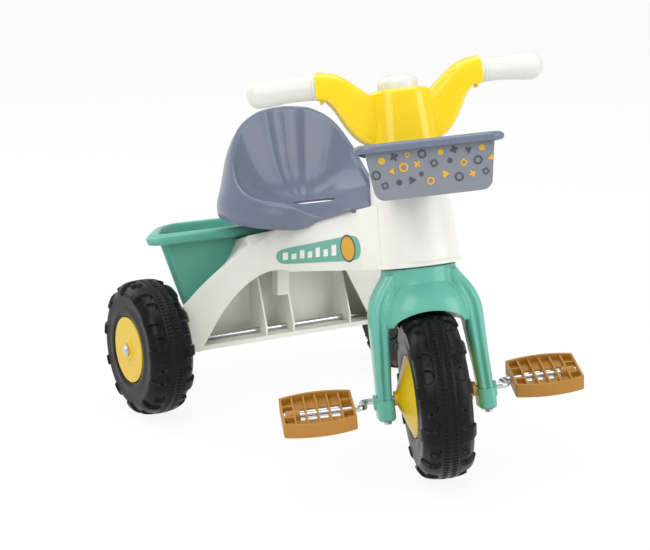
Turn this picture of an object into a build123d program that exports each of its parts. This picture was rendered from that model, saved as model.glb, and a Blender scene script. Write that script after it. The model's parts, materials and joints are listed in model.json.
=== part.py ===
"""Children's tricycle: raked steering head, pedal-driven front wheel, moulded frame, seat and rear bucket.

Millimetres. X points ahead, Y to the rider's left and Z up. The origin is on the ground under the middle.
The front end is modelled upright about its steering axis and then set in place, tipped back by the rake
and turned by the angle that it stands at.
"""

import os
from math import asin, cos, radians, sin, tan

from build123d import *

os.makedirs("parts", exist_ok=True)

# Stance
WHEELBASE = 429.0
REAR_AXLE_X = -194.4
RAKE = 13.0
STEER_REST = -25.0
FORK_OFFSET = 22.0

# Clearances
RUNNING = 0.06
SEATED = 0.3
WASHER_GAP = 0.5

# Wheels
REAR_WHEEL_D = 197.5
FRONT_WHEEL_D = 220.5
REAR_TRACK = 442.0
TYRE_WIDTH = 72.0
TREAD_FLAT = 46.0
SHOULDER_DROP = 15.0
TYRE_LIP = 33.0
TYRE_WALL = 3.0
TREAD_WALL = 7.0
LUGS = 11
LUG_HEIGHT = 4.0
POCKET_SHARE = 0.65
POCKET_START = 13.0
POCKET_NOTCH = 12.0
REAR_HUB_R = 48.0
FRONT_HUB_R = 54.0
HUB_WALL = 3.0
HUB_RECESS = 3.5
HUB_SLEEVE_D = 22.0
HUB_BOSS_D = 32.0
HUB_BOSS_RISE = 2.0
FRONT_CONE_HEIGHT = 16.0
FRONT_NOSE_D = 19.0

# Rear axle
AXLE_D = 8.0
PUSH_NUT_D = 18.0
PUSH_NUT_HEIGHT = 4.5

# Crank and pedals
CRANK_D = 8.0
CRANK_THROW = 52.0
CRANK_ARM_Y = 97.0
CRANK_BEND = 10.0
WING_SPAN = 16.0
WING_LENGTH = 20.0
WING_THICK = 3.0
PEDAL_Y = 157.0
PEDAL_LENGTH = 92.0
PEDAL_END_DEPTH = 64.0
PEDAL_BELLY = 7.0
PEDAL_HEIGHT = 19.0
PEDAL_WALL = 3.0
PEDAL_RIB = 2.4
PEDAL_RIBS = 5
PEDAL_SLOT = 26.0
PEDAL_BOSS_D = 16.0
PEDAL_PITCH = 24.5
PEDAL_NUT_D = 13.0
PEDAL_NUT_THICK = 1.5

# Fork
FORK_INNER = 54.5
FORK_SPLAY = 6.0
LEG_WIDTH = 23.0
LEG_DEPTH = 40.0
LEG_TOP = 102.0
LEG_WALL = 4.0
LEG_GROOVE_R = 5.0
CROWN_DEPTH = 96.0
CROWN_SHOULDER = 150.0
WHEEL_ROOM = 8.0
APRON = 5.0
NECK_D = 98.0
NECK_HEIGHT = 166.0
STEM_D = 30.0
STEM_SHOULDER_D = 48.0
STEM_TOP = 361.0
CAP_DROP = 27.0
CAP_TAB = 3.0

# Steering column of the frame, along the steering axis from the front axle
COLUMN_FOOT = 167.0
COLUMN_FOOT_D = 112.0
COLUMN_TOP = 308.0
COLUMN_TOP_D = 98.0
FRAME_WALL = 3.0
BUSH_WALL = 4.0
BUSH_FLANGE = 2.0
LOWER_PLATE = 184.0

# Frame, lengths ahead of the rear axle and heights above the ground
DECK_FRONT_X = 328.0
DECK_FRONT_Z = 345.0
DECK_REAR_Z = 234.0
ROOF_TOP_Z = 275.0
ROOF_SHOULDER_Z = 224.0
ROOF_BEND_Z = 199.0
ROOF_FALL = 0.7
BEAM_HALF = 54.0
FLARE_START_X = 233.0
BEAM_FOOT_X = 130.0
BEAM_FOOT_Z = 218.0
BEAM_EDGE_X = 357.0
BEAM_EDGE_Z = 267.5
LEG_HALF = 176.0
LEG_FACE_X = 28.0
LEG_END_Z = 159.0
REAR_WALL_X = -33.0
TRAY_FLOOR = 7.0
RIB_PLACES = (-37.0, 10.0, 110.0)
RIB_TOP_Z = 217.0
TOWER_X = 0.0
TOWER_Y = -1.0
TOWER_WIDTH = 20.0
TOWER_DEPTH = 18.0
TOWER_FOOT_Z = 150.0

# Seat, lengths ahead of the rear axle and heights above the ground
SEAT_X = 55.0
SEAT_R = 120.0
SEAT_FOOT_Z = 283.0
SEAT_BACK_Z = 437.0
SEAT_RIM = 9.0
SEAT_WALL = 3.0
SEAT_PAN_Z = 308.0
SEAT_NOSE_HALF = 58.0
SEAT_NOSE_X = 298.0
SEAT_NOSE_RISE = 8.0
NOSE_START_X = 215.0
SLOT_X = 99.0
SLOT_LENGTH = 72.0
SLOT_WIDTH = 30.0
SEAT_POST_D = 20.0
SEAT_POST_X = (30.0, 148.0)
SCREW_D = 5.0
SCREW_HEAD_D = 10.0
SCREW_HEAD = 3.0
SCREW_REACH = 14.0

# Rear bucket, hung behind the rear wall
BUCKET_TIP = 6.4
BUCKET_RIM_Z = 256.0
BUCKET_HALF = 192.0
BUCKET_DEPTH = 121.0
BUCKET_HEIGHT = 126.0
BUCKET_TAPER = 45.0
BUCKET_CORNER = 46.0
BUCKET_FRONT_CORNER = 16.0
BUCKET_NARROWING = 66.0
BUCKET_WALL = 3.0
BUCKET_LIP = 17.0
BUCKET_LIP_HEIGHT = 14.0
BUCKET_SCREW_Y = 70.0
BUCKET_SCREW_DROP = 62.0

# Basket, along the steering axis from the front axle and ahead of that axis
BASKET_FRONT = 208.0
BASKET_REAR = 60.0
BASKET_FOOT = 255.0
BASKET_TOP = 321.0
BASKET_HALF = 79.0
BASKET_TAPER = 8.0
BASKET_CORNER = 14.0
BASKET_WALL = 2.5
BASKET_LIP = 10.0
BASKET_LIP_HEIGHT = 10.0
TONGUE_THICK = 4.0
TONGUE_D = 62.0

# Handlebar
BOX_FOOT = 315.0
BOX_TOP = 398.0
BOX_FOOT_WIDTH = 84.0
BOX_TOP_WIDTH = 74.0
BOX_FOOT_DEPTH = 82.0
BOX_TOP_DEPTH = 70.0
BOX_CORNER = 16.0
BAR_WALL = 3.0
GRIP_HEIGHT = 412.0
GRIP_SWEEP = 14.0
GRIP_START = 109.0
GRIP_LENGTH = 92.0
GRIP_D = 36.0
GRIP_WAIST_D = 31.0
GRIP_FLANGE_D = 36.0
PEG_D = 20.0
ARM_END_D = 37.0
STEM_SCREW_HEIGHT = 345.0

# Horn
HORN_D = 54.0
HORN_RISE = 21.0
HORN_SKIRT = 10.0
HORN_FLANGE_D = 60.0
BELLOWS_D = 30.0
BELLOWS_WALL = 2.0

# Worked-out places
REAR_R = REAR_WHEEL_D / 2
FRONT_R = FRONT_WHEEL_D / 2
LEAN = asin(sin(radians(abs(STEER_REST))) * sin(radians(RAKE)))
TURN_DROP = FORK_OFFSET * sin(radians(RAKE)) * (1 - cos(radians(STEER_REST)))
FRONT_AXLE_Z = FRONT_R * cos(LEAN) + TREAD_FLAT / 2 * sin(LEAN) + TURN_DROP
AHEAD = Vector(cos(radians(RAKE)), 0, sin(radians(RAKE)))
UP_COLUMN = Vector(-sin(radians(RAKE)), 0, cos(radians(RAKE)))
FRONT_AXLE = Vector(REAR_AXLE_X + WHEELBASE, 0, FRONT_AXLE_Z)
HEAD = Plane(origin=FRONT_AXLE - AHEAD * FORK_OFFSET, x_dir=AHEAD, z_dir=UP_COLUMN)
TURNED = AHEAD * cos(radians(STEER_REST)) + Vector(0, 1, 0) * sin(radians(STEER_REST))
STEERED = Plane(origin=HEAD.origin, x_dir=TURNED, z_dir=UP_COLUMN).location
SIDES = {"right": -1, "left": 1}
HUB_FACE = TYRE_WIDTH / 2 - HUB_RECESS
AXLE_HALF = REAR_TRACK / 2 + HUB_FACE + HUB_BOSS_RISE + WASHER_GAP + PUSH_NUT_HEIGHT - 1


def write(piece, name, place=Location()):
    """Label a finished piece, set it in place and write it."""
    placed = piece.part.moved(place)
    placed.label = name
    export_step(placed, f"parts/{name}.step")


def behind(x):
    """Turn a length ahead of the rear axle into a place along X."""
    return REAR_AXLE_X + x


def deck_height(x):
    """Height of the straight top of the beam at a length ahead of the rear axle."""
    share = (x - REAR_WALL_X) / (DECK_FRONT_X - REAR_WALL_X)
    return DECK_REAR_Z + (DECK_FRONT_Z - DECK_REAR_Z) * share


# Wheels, about the Y axis

def tyre_points(radius, hub_radius, inset):
    """Half-round outline of a tyre from lip to lip, drawn in by the inset."""
    half = TYRE_WIDTH / 2 - inset
    lip = TYRE_LIP - inset
    shoulder = radius - SHOULDER_DROP - inset / 2
    tread = TREAD_FLAT / 2 - inset / 3
    top = radius - inset
    right = [(lip, hub_radius), (half, shoulder), (tread, top)]
    left = [(-y, z) for y, z in reversed(right)]
    return right + left


def tyre_face(radius, hub_radius, inset):
    """Close the outline of a tyre along its hub and round its shoulders, as a face in the section sketch."""
    with BuildSketch(Plane.YZ, mode=Mode.PRIVATE) as face:
        with BuildLine():
            Polyline(*tyre_points(radius, hub_radius, inset), close=True)
        make_face()
        shoulders = face.vertices().filter_by(lambda v: v.Y > hub_radius + 1)
        fillet(shoulders, SHOULDER_DROP / 2)
    return face.sketch


def build_tyre(radius, hub_radius):
    """Hollow moulded tyre, open to its hub, with lobed pockets that leave lugs between them."""
    outer = tyre_face(radius, hub_radius, 0)
    hollow = tyre_face(radius - TREAD_WALL + TYRE_WALL, hub_radius, TYRE_WALL)
    section = outer - hollow
    with BuildPart() as core:
        add(tyre_face(radius, hub_radius, LUG_HEIGHT))
        revolve(axis=Axis.Y)
    pitch = 2 * radius * tan(radians(180 / LUGS))
    half = pitch * POCKET_SHARE / 2
    edge = TYRE_WIDTH / 2 + LUG_HEIGHT
    lobes = [
        (-half, edge),
        (-half, POCKET_START + 3),
        (-half / 3, POCKET_START),
        (0, POCKET_START + POCKET_NOTCH),
        (half / 3, POCKET_START),
        (half, POCKET_START + 3),
        (half, edge),
    ]
    with BuildPart() as pocket:
        with BuildSketch(Plane.XY.offset(radius - SHOULDER_DROP - LUG_HEIGHT)) as shape:
            with BuildLine():
                Polyline(*lobes, close=True)
            make_face()
            inner = shape.vertices().filter_by(lambda v: v.Y < edge - 1)
            fillet(inner, POCKET_NOTCH / 5)
        extrude(amount=SHOULDER_DROP + 2 * LUG_HEIGHT)
        mirror(about=Plane.XZ)
        add(core.part, mode=Mode.SUBTRACT)
    with BuildPart() as tyre:
        add(section)
        revolve(axis=Axis.Y)
        add([pocket.part.rotate(Axis.Y, 360 / LUGS * n) for n in range(LUGS)], mode=Mode.SUBTRACT)
    return tyre


def build_rear_hub(inner):
    """Flat dished disc with a sleeve to the middle of the wheel; the inner one is turned round."""
    face = HUB_FACE
    rise = face + HUB_BOSS_RISE
    section = [
        (AXLE_D / 2 + RUNNING, 0),
        (HUB_SLEEVE_D / 2, 0),
        (HUB_SLEEVE_D / 2, face - HUB_WALL),
        (REAR_HUB_R - SEATED, face - HUB_WALL),
        (REAR_HUB_R - SEATED, face),
        (HUB_BOSS_D / 2, face),
        (HUB_BOSS_D / 2 - HUB_BOSS_RISE, rise),
        (AXLE_D / 2 + RUNNING, rise),
    ]
    with BuildPart() as hub:
        with BuildSketch(Plane.YZ):
            with BuildLine():
                Polyline(*[(-y if inner else y, r) for r, y in section], close=True)
            make_face()
        revolve(axis=Axis.Y)
    return hub


def build_front_hub(side):
    """Cone with a nose that reaches the fork leg and a sleeve, slotted for the crank's wings."""
    base = HUB_FACE
    tip = base + FRONT_CONE_HEIGHT
    nose = FRONT_NOSE_D / 2
    nose_end = FORK_INNER - FORK_SPLAY * nose / LEG_TOP - WASHER_GAP
    bore = CRANK_D / 2 + RUNNING
    rim = FRONT_HUB_R - SEATED
    section = [
        (bore, 0),
        (HUB_SLEEVE_D / 2, 0),
        (HUB_SLEEVE_D / 2, tip - 2 * HUB_WALL),
        (rim - 2 * HUB_WALL, base - HUB_WALL),
        (rim, base - HUB_WALL),
        (rim, base),
        (nose + HUB_WALL, tip),
        (nose, tip + 1),
        (nose, nose_end),
        (bore, nose_end),
    ]
    with BuildPart() as hub:
        with BuildSketch(Plane.YZ):
            with BuildLine():
                Polyline(*[(side * y, r) for r, y in section], close=True)
            make_face()
        revolve(axis=Axis.Y)
        wing_room = 2 * RUNNING
        Box(
            WING_SPAN + wing_room,
            WING_LENGTH + wing_room,
            WING_THICK + wing_room,
            mode=Mode.SUBTRACT,
        )
    return hub


rear_tyre = build_tyre(REAR_R, REAR_HUB_R)
for corner, side in SIDES.items():
    wheel_place = Location((REAR_AXLE_X, side * REAR_TRACK / 2, REAR_R))
    write(rear_tyre, f"rear_tyre_{corner}", wheel_place)
    outer_hub = build_rear_hub(inner=side < 0)
    write(outer_hub, f"rear_hub_outer_{corner}", wheel_place)
    inner_hub = build_rear_hub(inner=side > 0)
    write(inner_hub, f"rear_hub_inner_{corner}", wheel_place)

AXLE_IN_HEAD = Location((FORK_OFFSET, 0, 0))
front_tyre = build_tyre(FRONT_R, FRONT_HUB_R)
write(front_tyre, "front_tyre", STEERED * AXLE_IN_HEAD)
for corner, side in SIDES.items():
    front_hub = build_front_hub(side)
    write(front_hub, f"front_hub_{corner}", STEERED * AXLE_IN_HEAD)

# Rear axle and the push nuts on its ends
with BuildPart() as rear_axle:
    with BuildSketch(Plane.XZ.offset(-AXLE_HALF)):
        Circle(AXLE_D / 2)
    extrude(amount=2 * AXLE_HALF)
    chamfer(rear_axle.edges().filter_by(GeomType.CIRCLE), AXLE_D / 10)
AXLE_PLACE = Location((REAR_AXLE_X, 0, REAR_R))
write(rear_axle, "rear_axle", AXLE_PLACE)

with BuildPart() as axle_push_nuts:
    nut_start = AXLE_HALF + 1 - PUSH_NUT_HEIGHT
    with BuildSketch(Plane.YZ):
        with BuildLine():
            Polyline(
                (nut_start, AXLE_D / 2),
                (nut_start, PUSH_NUT_D / 2),
                (nut_start + 1.5, PUSH_NUT_D / 2),
                (nut_start + 2, PUSH_NUT_D / 3),
                (nut_start + PUSH_NUT_HEIGHT, PUSH_NUT_D / 3 - 1),
                (nut_start + PUSH_NUT_HEIGHT, 0),
                (AXLE_HALF, 0),
                (AXLE_HALF, AXLE_D / 2),
                close=True,
            )
        make_face()
    revolve(axis=Axis.Y)
    mirror(about=Plane.XZ)
write(axle_push_nuts, "axle_push_nuts", AXLE_PLACE)

# Crank, bent from one rod, with flattened wings that drive the hubs
CRANK_END = PEDAL_Y + PEDAL_LENGTH / 2 - PEDAL_WALL
with BuildPart() as crank:
    with BuildLine() as crank_line:
        FilletPolyline(
            (CRANK_THROW, -CRANK_END, 0),
            (CRANK_THROW, -CRANK_ARM_Y, 0),
            (0, -CRANK_ARM_Y, 0),
            (0, CRANK_ARM_Y, 0),
            (-CRANK_THROW, CRANK_ARM_Y, 0),
            (-CRANK_THROW, CRANK_END, 0),
            radius=CRANK_BEND,
        )
    with BuildSketch(Plane(crank_line.line @ 0, z_dir=crank_line.line % 0)):
        Circle(CRANK_D / 2)
    sweep()
    Box(WING_SPAN, WING_LENGTH, WING_THICK)
write(crank, "crank", STEERED * AXLE_IN_HEAD)


# Pedals, about the Y axis of their crank end

def pedal_outline(inset):
    """Barrel outline of a pedal, drawn in by the inset."""
    half_length = PEDAL_LENGTH / 2 - inset
    half_end = PEDAL_END_DEPTH / 2 - inset
    belly = half_end + PEDAL_BELLY
    with BuildSketch(mode=Mode.PRIVATE) as outline:
        with BuildLine():
            ThreePointArc((half_end, -half_length), (belly, 0), (half_end, half_length))
            Line((half_end, half_length), (-half_end, half_length))
            ThreePointArc((-half_end, half_length), (-belly, 0), (-half_end, -half_length))
            Line((-half_end, -half_length), (half_end, -half_length))
        make_face()
        fillet(outline.vertices(), PEDAL_WALL)
    return outline.sketch


PEDAL_CELL = (PEDAL_LENGTH - PEDAL_WALL) / (PEDAL_RIBS + 1)
PEDAL_RIM_Y = PEDAL_LENGTH / 2 - PEDAL_WALL / 2
NUT_Y = PEDAL_RIM_Y - PEDAL_WALL / 2 - WASHER_GAP - PEDAL_NUT_THICK


def build_pedal(side):
    """Open tray with a rim, cross ribs, a web on both sides of the shaft and a boss for the shaft's end."""
    with BuildPart() as pedal:
        add(pedal_outline(0))
        extrude(amount=PEDAL_HEIGHT / 2, both=True)
        add(pedal_outline(PEDAL_WALL))
        extrude(amount=PEDAL_HEIGHT / 2, both=True, mode=Mode.SUBTRACT)
        add(pedal_outline(PEDAL_WALL / 2))
        extrude(amount=PEDAL_RIB / 2, both=True)
        Box(PEDAL_SLOT, PEDAL_LENGTH - 2 * PEDAL_WALL, PEDAL_HEIGHT, mode=Mode.SUBTRACT)
        for n in range(1, PEDAL_RIBS + 1):
            rib_y = -PEDAL_RIM_Y + n * PEDAL_CELL
            reach = PEDAL_END_DEPTH + PEDAL_BELLY - PEDAL_WALL
            with Locations((0, rib_y, 0)):
                Box(reach, PEDAL_RIB, PEDAL_HEIGHT - PEDAL_WALL)
        for end in (-1, 1):
            wall_y = end * (PEDAL_RIM_Y - PEDAL_CELL / 2)
            for row in (-1, 1):
                with Locations((row * PEDAL_SLOT / 2, wall_y, 0)):
                    Box(PEDAL_RIB, PEDAL_CELL + PEDAL_RIB, PEDAL_HEIGHT - PEDAL_WALL)
        boss_start = side * (PEDAL_RIM_Y - PEDAL_CELL * 1.5)
        boss_end = side * (NUT_Y - WASHER_GAP)
        with BuildSketch(Plane.XZ.offset(-boss_start)):
            Circle(PEDAL_BOSS_D / 2)
        extrude(amount=boss_start - boss_end)
        with BuildSketch(Plane.XZ.offset(-side * (NUT_Y + PEDAL_NUT_THICK + WASHER_GAP))):
            Circle(CRANK_D / 2 + RUNNING)
        extrude(amount=side * PEDAL_LENGTH * 1.5, mode=Mode.SUBTRACT)
    return pedal


PEDAL_TURN = Location((0, 0, 0), (0, PEDAL_PITCH, 0))
for corner, side in SIDES.items():
    pedal = build_pedal(side)
    pedal_place = Location((FORK_OFFSET - side * CRANK_THROW, side * PEDAL_Y, 0))
    write(pedal, f"pedal_{corner}", STEERED * pedal_place * PEDAL_TURN)

with BuildPart() as pedal_push_nuts:
    for side in SIDES.values():
        nut_y = side * (PEDAL_Y + NUT_Y + PEDAL_NUT_THICK / 2)
        with Locations(Location((-side * CRANK_THROW, nut_y, 0), (90, 0, 0))):
            Cylinder(PEDAL_NUT_D / 2, PEDAL_NUT_THICK)
            Cylinder(CRANK_D / 2, PEDAL_NUT_THICK, mode=Mode.SUBTRACT)
write(pedal_push_nuts, "pedal_push_nuts", STEERED * AXLE_IN_HEAD)


# Fork, about the steering axis, with the front axle ahead of it at the height zero

def leg_section(height):
    """Middle across, middle ahead and depth of a fork leg at a height."""
    share = height / LEG_TOP
    inner = FORK_INNER - FORK_SPLAY * share
    ahead = FORK_OFFSET - FORK_OFFSET / 3 * share
    return inner + LEG_WIDTH / 2, ahead, LEG_DEPTH + LEG_WIDTH / 3 * share


CROWN_LEVELS = (
    (LEG_TOP - 14, CROWN_DEPTH, CROWN_SHOULDER - 6, 12.0, 22.0),
    (LEG_TOP + 18, CROWN_DEPTH, CROWN_SHOULDER - 2, 9.0, 34.0),
    (LEG_TOP + 40, NECK_D + 2, CROWN_SHOULDER - 24, 3.0, 44.0),
    (LEG_TOP + 58, NECK_D - 4, NECK_D - 4, 0.0, NECK_D / 2 - 4),
)
VAULT_HALF = FORK_INNER - FORK_SPLAY - 1
CRANK_BORE = CRANK_D / 2 + RUNNING
vault_top = FRONT_R + WHEEL_ROOM

with BuildPart() as fork:
    for side in SIDES.values():
        for height in (0, LEG_TOP):
            across, ahead, depth = leg_section(height)
            with BuildSketch(Plane.XY.offset(height)):
                with Locations((ahead, side * across)):
                    RectangleRounded(depth, LEG_WIDTH, LEG_WIDTH / 3)
        loft()
    for level, depth, width, ahead, corner in CROWN_LEVELS:
        with BuildSketch(Plane.XY.offset(level)):
            with Locations((ahead, 0)):
                RectangleRounded(depth, width, corner)
    loft()
    neck_foot = vault_top + 2 * LEG_WALL
    with BuildSketch(Plane.XY.offset(neck_foot)):
        Circle(NECK_D / 2)
    extrude(amount=NECK_HEIGHT - neck_foot)
    # room for the wheel under the crown, and the lower arch of the apron in front of it
    apron_x = FORK_OFFSET / 2 + CROWN_DEPTH / 2 - APRON
    with BuildSketch(Plane.YZ.offset(apron_x)):
        with Locations((0, vault_top / 2)):
            RectangleRounded(2 * VAULT_HALF, vault_top, VAULT_HALF / 2)
    extrude(amount=-2 * CROWN_DEPTH, mode=Mode.SUBTRACT)
    with BuildSketch(Plane.YZ.offset(-CROWN_DEPTH)):
        with Locations((0, LEG_TOP * 0.62)):
            Ellipse(VAULT_HALF + 2, vault_top - LEG_TOP * 0.62 - 3)
    extrude(amount=3 * CROWN_DEPTH, mode=Mode.SUBTRACT)
    # legs are channels, open at the back, with a round groove down the front
    for side in SIDES.values():
        for height in (LEG_WALL * 3, LEG_TOP - LEG_WALL):
            across, ahead, depth = leg_section(height)
            with BuildSketch(Plane.XY.offset(height)):
                with Locations((ahead - LEG_WALL * 2, side * across)):
                    Rectangle(depth, LEG_WIDTH - 2 * LEG_WALL)
        loft(mode=Mode.SUBTRACT)
        low_across, low_ahead, low_depth = leg_section(0)
        top_across, top_ahead, top_depth = leg_section(LEG_TOP)
        groove_sink = LEG_GROOVE_R * 0.7
        low = Vector(low_ahead + low_depth / 2 + groove_sink, side * low_across, -LEG_WALL)
        top = Vector(top_ahead + top_depth / 2 + groove_sink, side * top_across, LEG_TOP + LEG_WALL)
        with BuildSketch(Plane(low, z_dir=top - low)):
            Circle(LEG_GROOVE_R)
        extrude(amount=(top - low).length, mode=Mode.SUBTRACT)
    with BuildSketch(Plane.XY.offset(vault_top + 3 * LEG_WALL)):
        Circle(NECK_D / 2 - LEG_WALL)
        Circle(STEM_SHOULDER_D / 2, mode=Mode.SUBTRACT)
    extrude(amount=NECK_HEIGHT, mode=Mode.SUBTRACT)
    shoulder_top = LOWER_PLATE - BUSH_FLANGE - WASHER_GAP
    with BuildSketch(Plane.XY.offset(vault_top + LEG_WALL)):
        Circle(STEM_SHOULDER_D / 2)
    extrude(amount=shoulder_top - vault_top - LEG_WALL)
    with BuildSketch(Plane.XY.offset(vault_top + LEG_WALL)):
        Circle(STEM_D / 2)
    extrude(amount=STEM_TOP - vault_top - LEG_WALL)
    with Locations(Location((0, 0, STEM_SCREW_HEIGHT), (0, 90, 0))):
        Cylinder(SCREW_D / 2, STEM_D + 2, mode=Mode.SUBTRACT)
    with Locations(Location((FORK_OFFSET, 0, 0), (90, 0, 0))):
        Cylinder(CRANK_BORE, 3 * FORK_INNER, mode=Mode.SUBTRACT)
write(fork, "fork", STEERED)

CAP_SCREW_X = LEG_DEPTH / 2 - 7
for corner, side in SIDES.items():
    across, ahead, depth = leg_section(0)
    with BuildPart() as fork_cap:
        with BuildSketch(Plane.XY):
            with Locations((ahead, side * across)):
                RectangleRounded(depth, LEG_WIDTH, LEG_WIDTH / 3)
        extrude(amount=-CAP_DROP)
        foot = fork_cap.edges().group_by(Axis.Z)[0]
        fillet(foot, LEG_WIDTH / 4)
        with Locations((ahead, side * (across + LEG_WIDTH / 2 + CAP_TAB / 2), -2)):
            Box(CAP_TAB * 4, CAP_TAB, CAP_DROP * 0.7)
        with Locations(Location((FORK_OFFSET, side * across, 0), (90, 0, 0))):
            Cylinder(CRANK_BORE, 2 * LEG_WIDTH, mode=Mode.SUBTRACT)
        for place in (-CAP_SCREW_X, CAP_SCREW_X):
            with Locations((ahead + place, side * across, -CAP_DROP / 2)):
                Cylinder(SCREW_D / 2, CAP_DROP, mode=Mode.SUBTRACT)
    write(fork_cap, f"fork_cap_{corner}", STEERED)

with BuildPart() as cap_screws:
    for side in SIDES.values():
        across, ahead, depth = leg_section(0)
        for place in (-CAP_SCREW_X, CAP_SCREW_X):
            with Locations((ahead + place, side * across, -CAP_DROP)):
                Cylinder(SCREW_D / 2, CAP_DROP, align=(Align.CENTER, Align.CENTER, Align.MIN))
                Cylinder(SCREW_HEAD_D / 2, SCREW_HEAD, align=(Align.CENTER, Align.CENTER, Align.MAX))
write(cap_screws, "cap_screws", STEERED)


# Frame: a shell that is open below, from the steering column to the rear legs

def roof_face(plane, inset):
    """Upright face under the roof of the legs, open above the beam, drawn in by the inset."""
    roof = [
        (BEAM_HALF + 6, ROOF_TOP_Z - inset),
        (LEG_HALF * 0.56, ROOF_SHOULDER_Z - inset),
        (LEG_HALF * 0.75, ROOF_BEND_Z - inset),
        (LEG_HALF, LEG_END_Z - inset),
    ]
    high = 2 * DECK_FRONT_Z
    low = -2 * WHEELBASE
    with BuildSketch(plane, mode=Mode.PRIVATE) as face:
        with BuildLine():
            Spline(*roof)
            Polyline(roof[-1], (LEG_HALF, low), (0, low), (0, high), (roof[0][0], high), roof[0])
        make_face()
        mirror(about=Plane.YZ)
    return face.sketch


def frame_solid(inset):
    """Outer form of the beam and legs, or of the hollow inside them when it is drawn in."""
    flare = [
        (behind(DECK_FRONT_X), BEAM_HALF - 2 - inset),
        (behind(FLARE_START_X), BEAM_HALF - inset),
        (behind(FLARE_START_X / 2), BEAM_HALF + 4 - inset),
        (behind(FLARE_START_X / 4), BEAM_HALF + 25 - inset),
        (behind(LEG_FACE_X + 8 - inset), LEG_HALF * 0.62),
        (behind(LEG_FACE_X - inset), LEG_HALF - inset),
    ]
    rear = behind(REAR_WALL_X + inset)
    front = behind(DECK_FRONT_X)
    with BuildPart() as solid:
        with BuildSketch(Plane.XY):
            with BuildLine():
                Spline(*flare, tangents=((-1, 0), (0, 1)))
                Polyline(flare[-1], (rear, LEG_HALF - inset), (rear, 0), (flare[0][0], 0), flare[0])
            make_face()
            mirror(about=Plane.XZ)
        extrude(amount=DECK_FRONT_Z)
        with BuildSketch(Plane.XZ):
            with BuildLine():
                Polyline(
                    (front, deck_height(DECK_FRONT_X) - inset),
                    (rear, deck_height(REAR_WALL_X + inset) - inset),
                    (rear, 0),
                    (front, 0),
                    close=True,
                )
            make_face()
        extrude(amount=LEG_HALF, both=True, mode=Mode.INTERSECT)
        # roof of the legs, level ahead of their faces and falling behind them
        extrude(roof_face(Plane.YZ, inset), amount=2 * WHEELBASE, both=True, mode=Mode.INTERSECT)
        falling = roof_face(Plane.YZ.offset(behind(LEG_FACE_X)), inset * (1 + ROOF_FALL))
        fall = Vector(1, 0, ROOF_FALL)
        extrude(falling, amount=2 * WHEELBASE, dir=fall, both=True, mode=Mode.INTERSECT)
    return solid.part


def column_solid(inset):
    """Steering column without its hollow, drawn in by the inset."""
    with BuildPart() as column:
        with BuildSketch(HEAD.offset(COLUMN_FOOT)):
            Circle(COLUMN_FOOT_D / 2 - inset)
        with BuildSketch(HEAD.offset(COLUMN_TOP)):
            Circle(COLUMN_TOP_D / 2 - inset)
        loft()
    return column.part


AXLE_LOW = REAR_R - AXLE_D / 2
FRAME_FOOT_Z = AXLE_LOW - SEATED / 3 - TRAY_FLOOR
shell_outside = frame_solid(0)
shell_inside = frame_solid(FRAME_WALL)
BUSH_R = STEM_D / 2 + RUNNING + BUSH_WALL
column_lean = (COLUMN_FOOT_D - COLUMN_TOP_D) / 2

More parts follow.
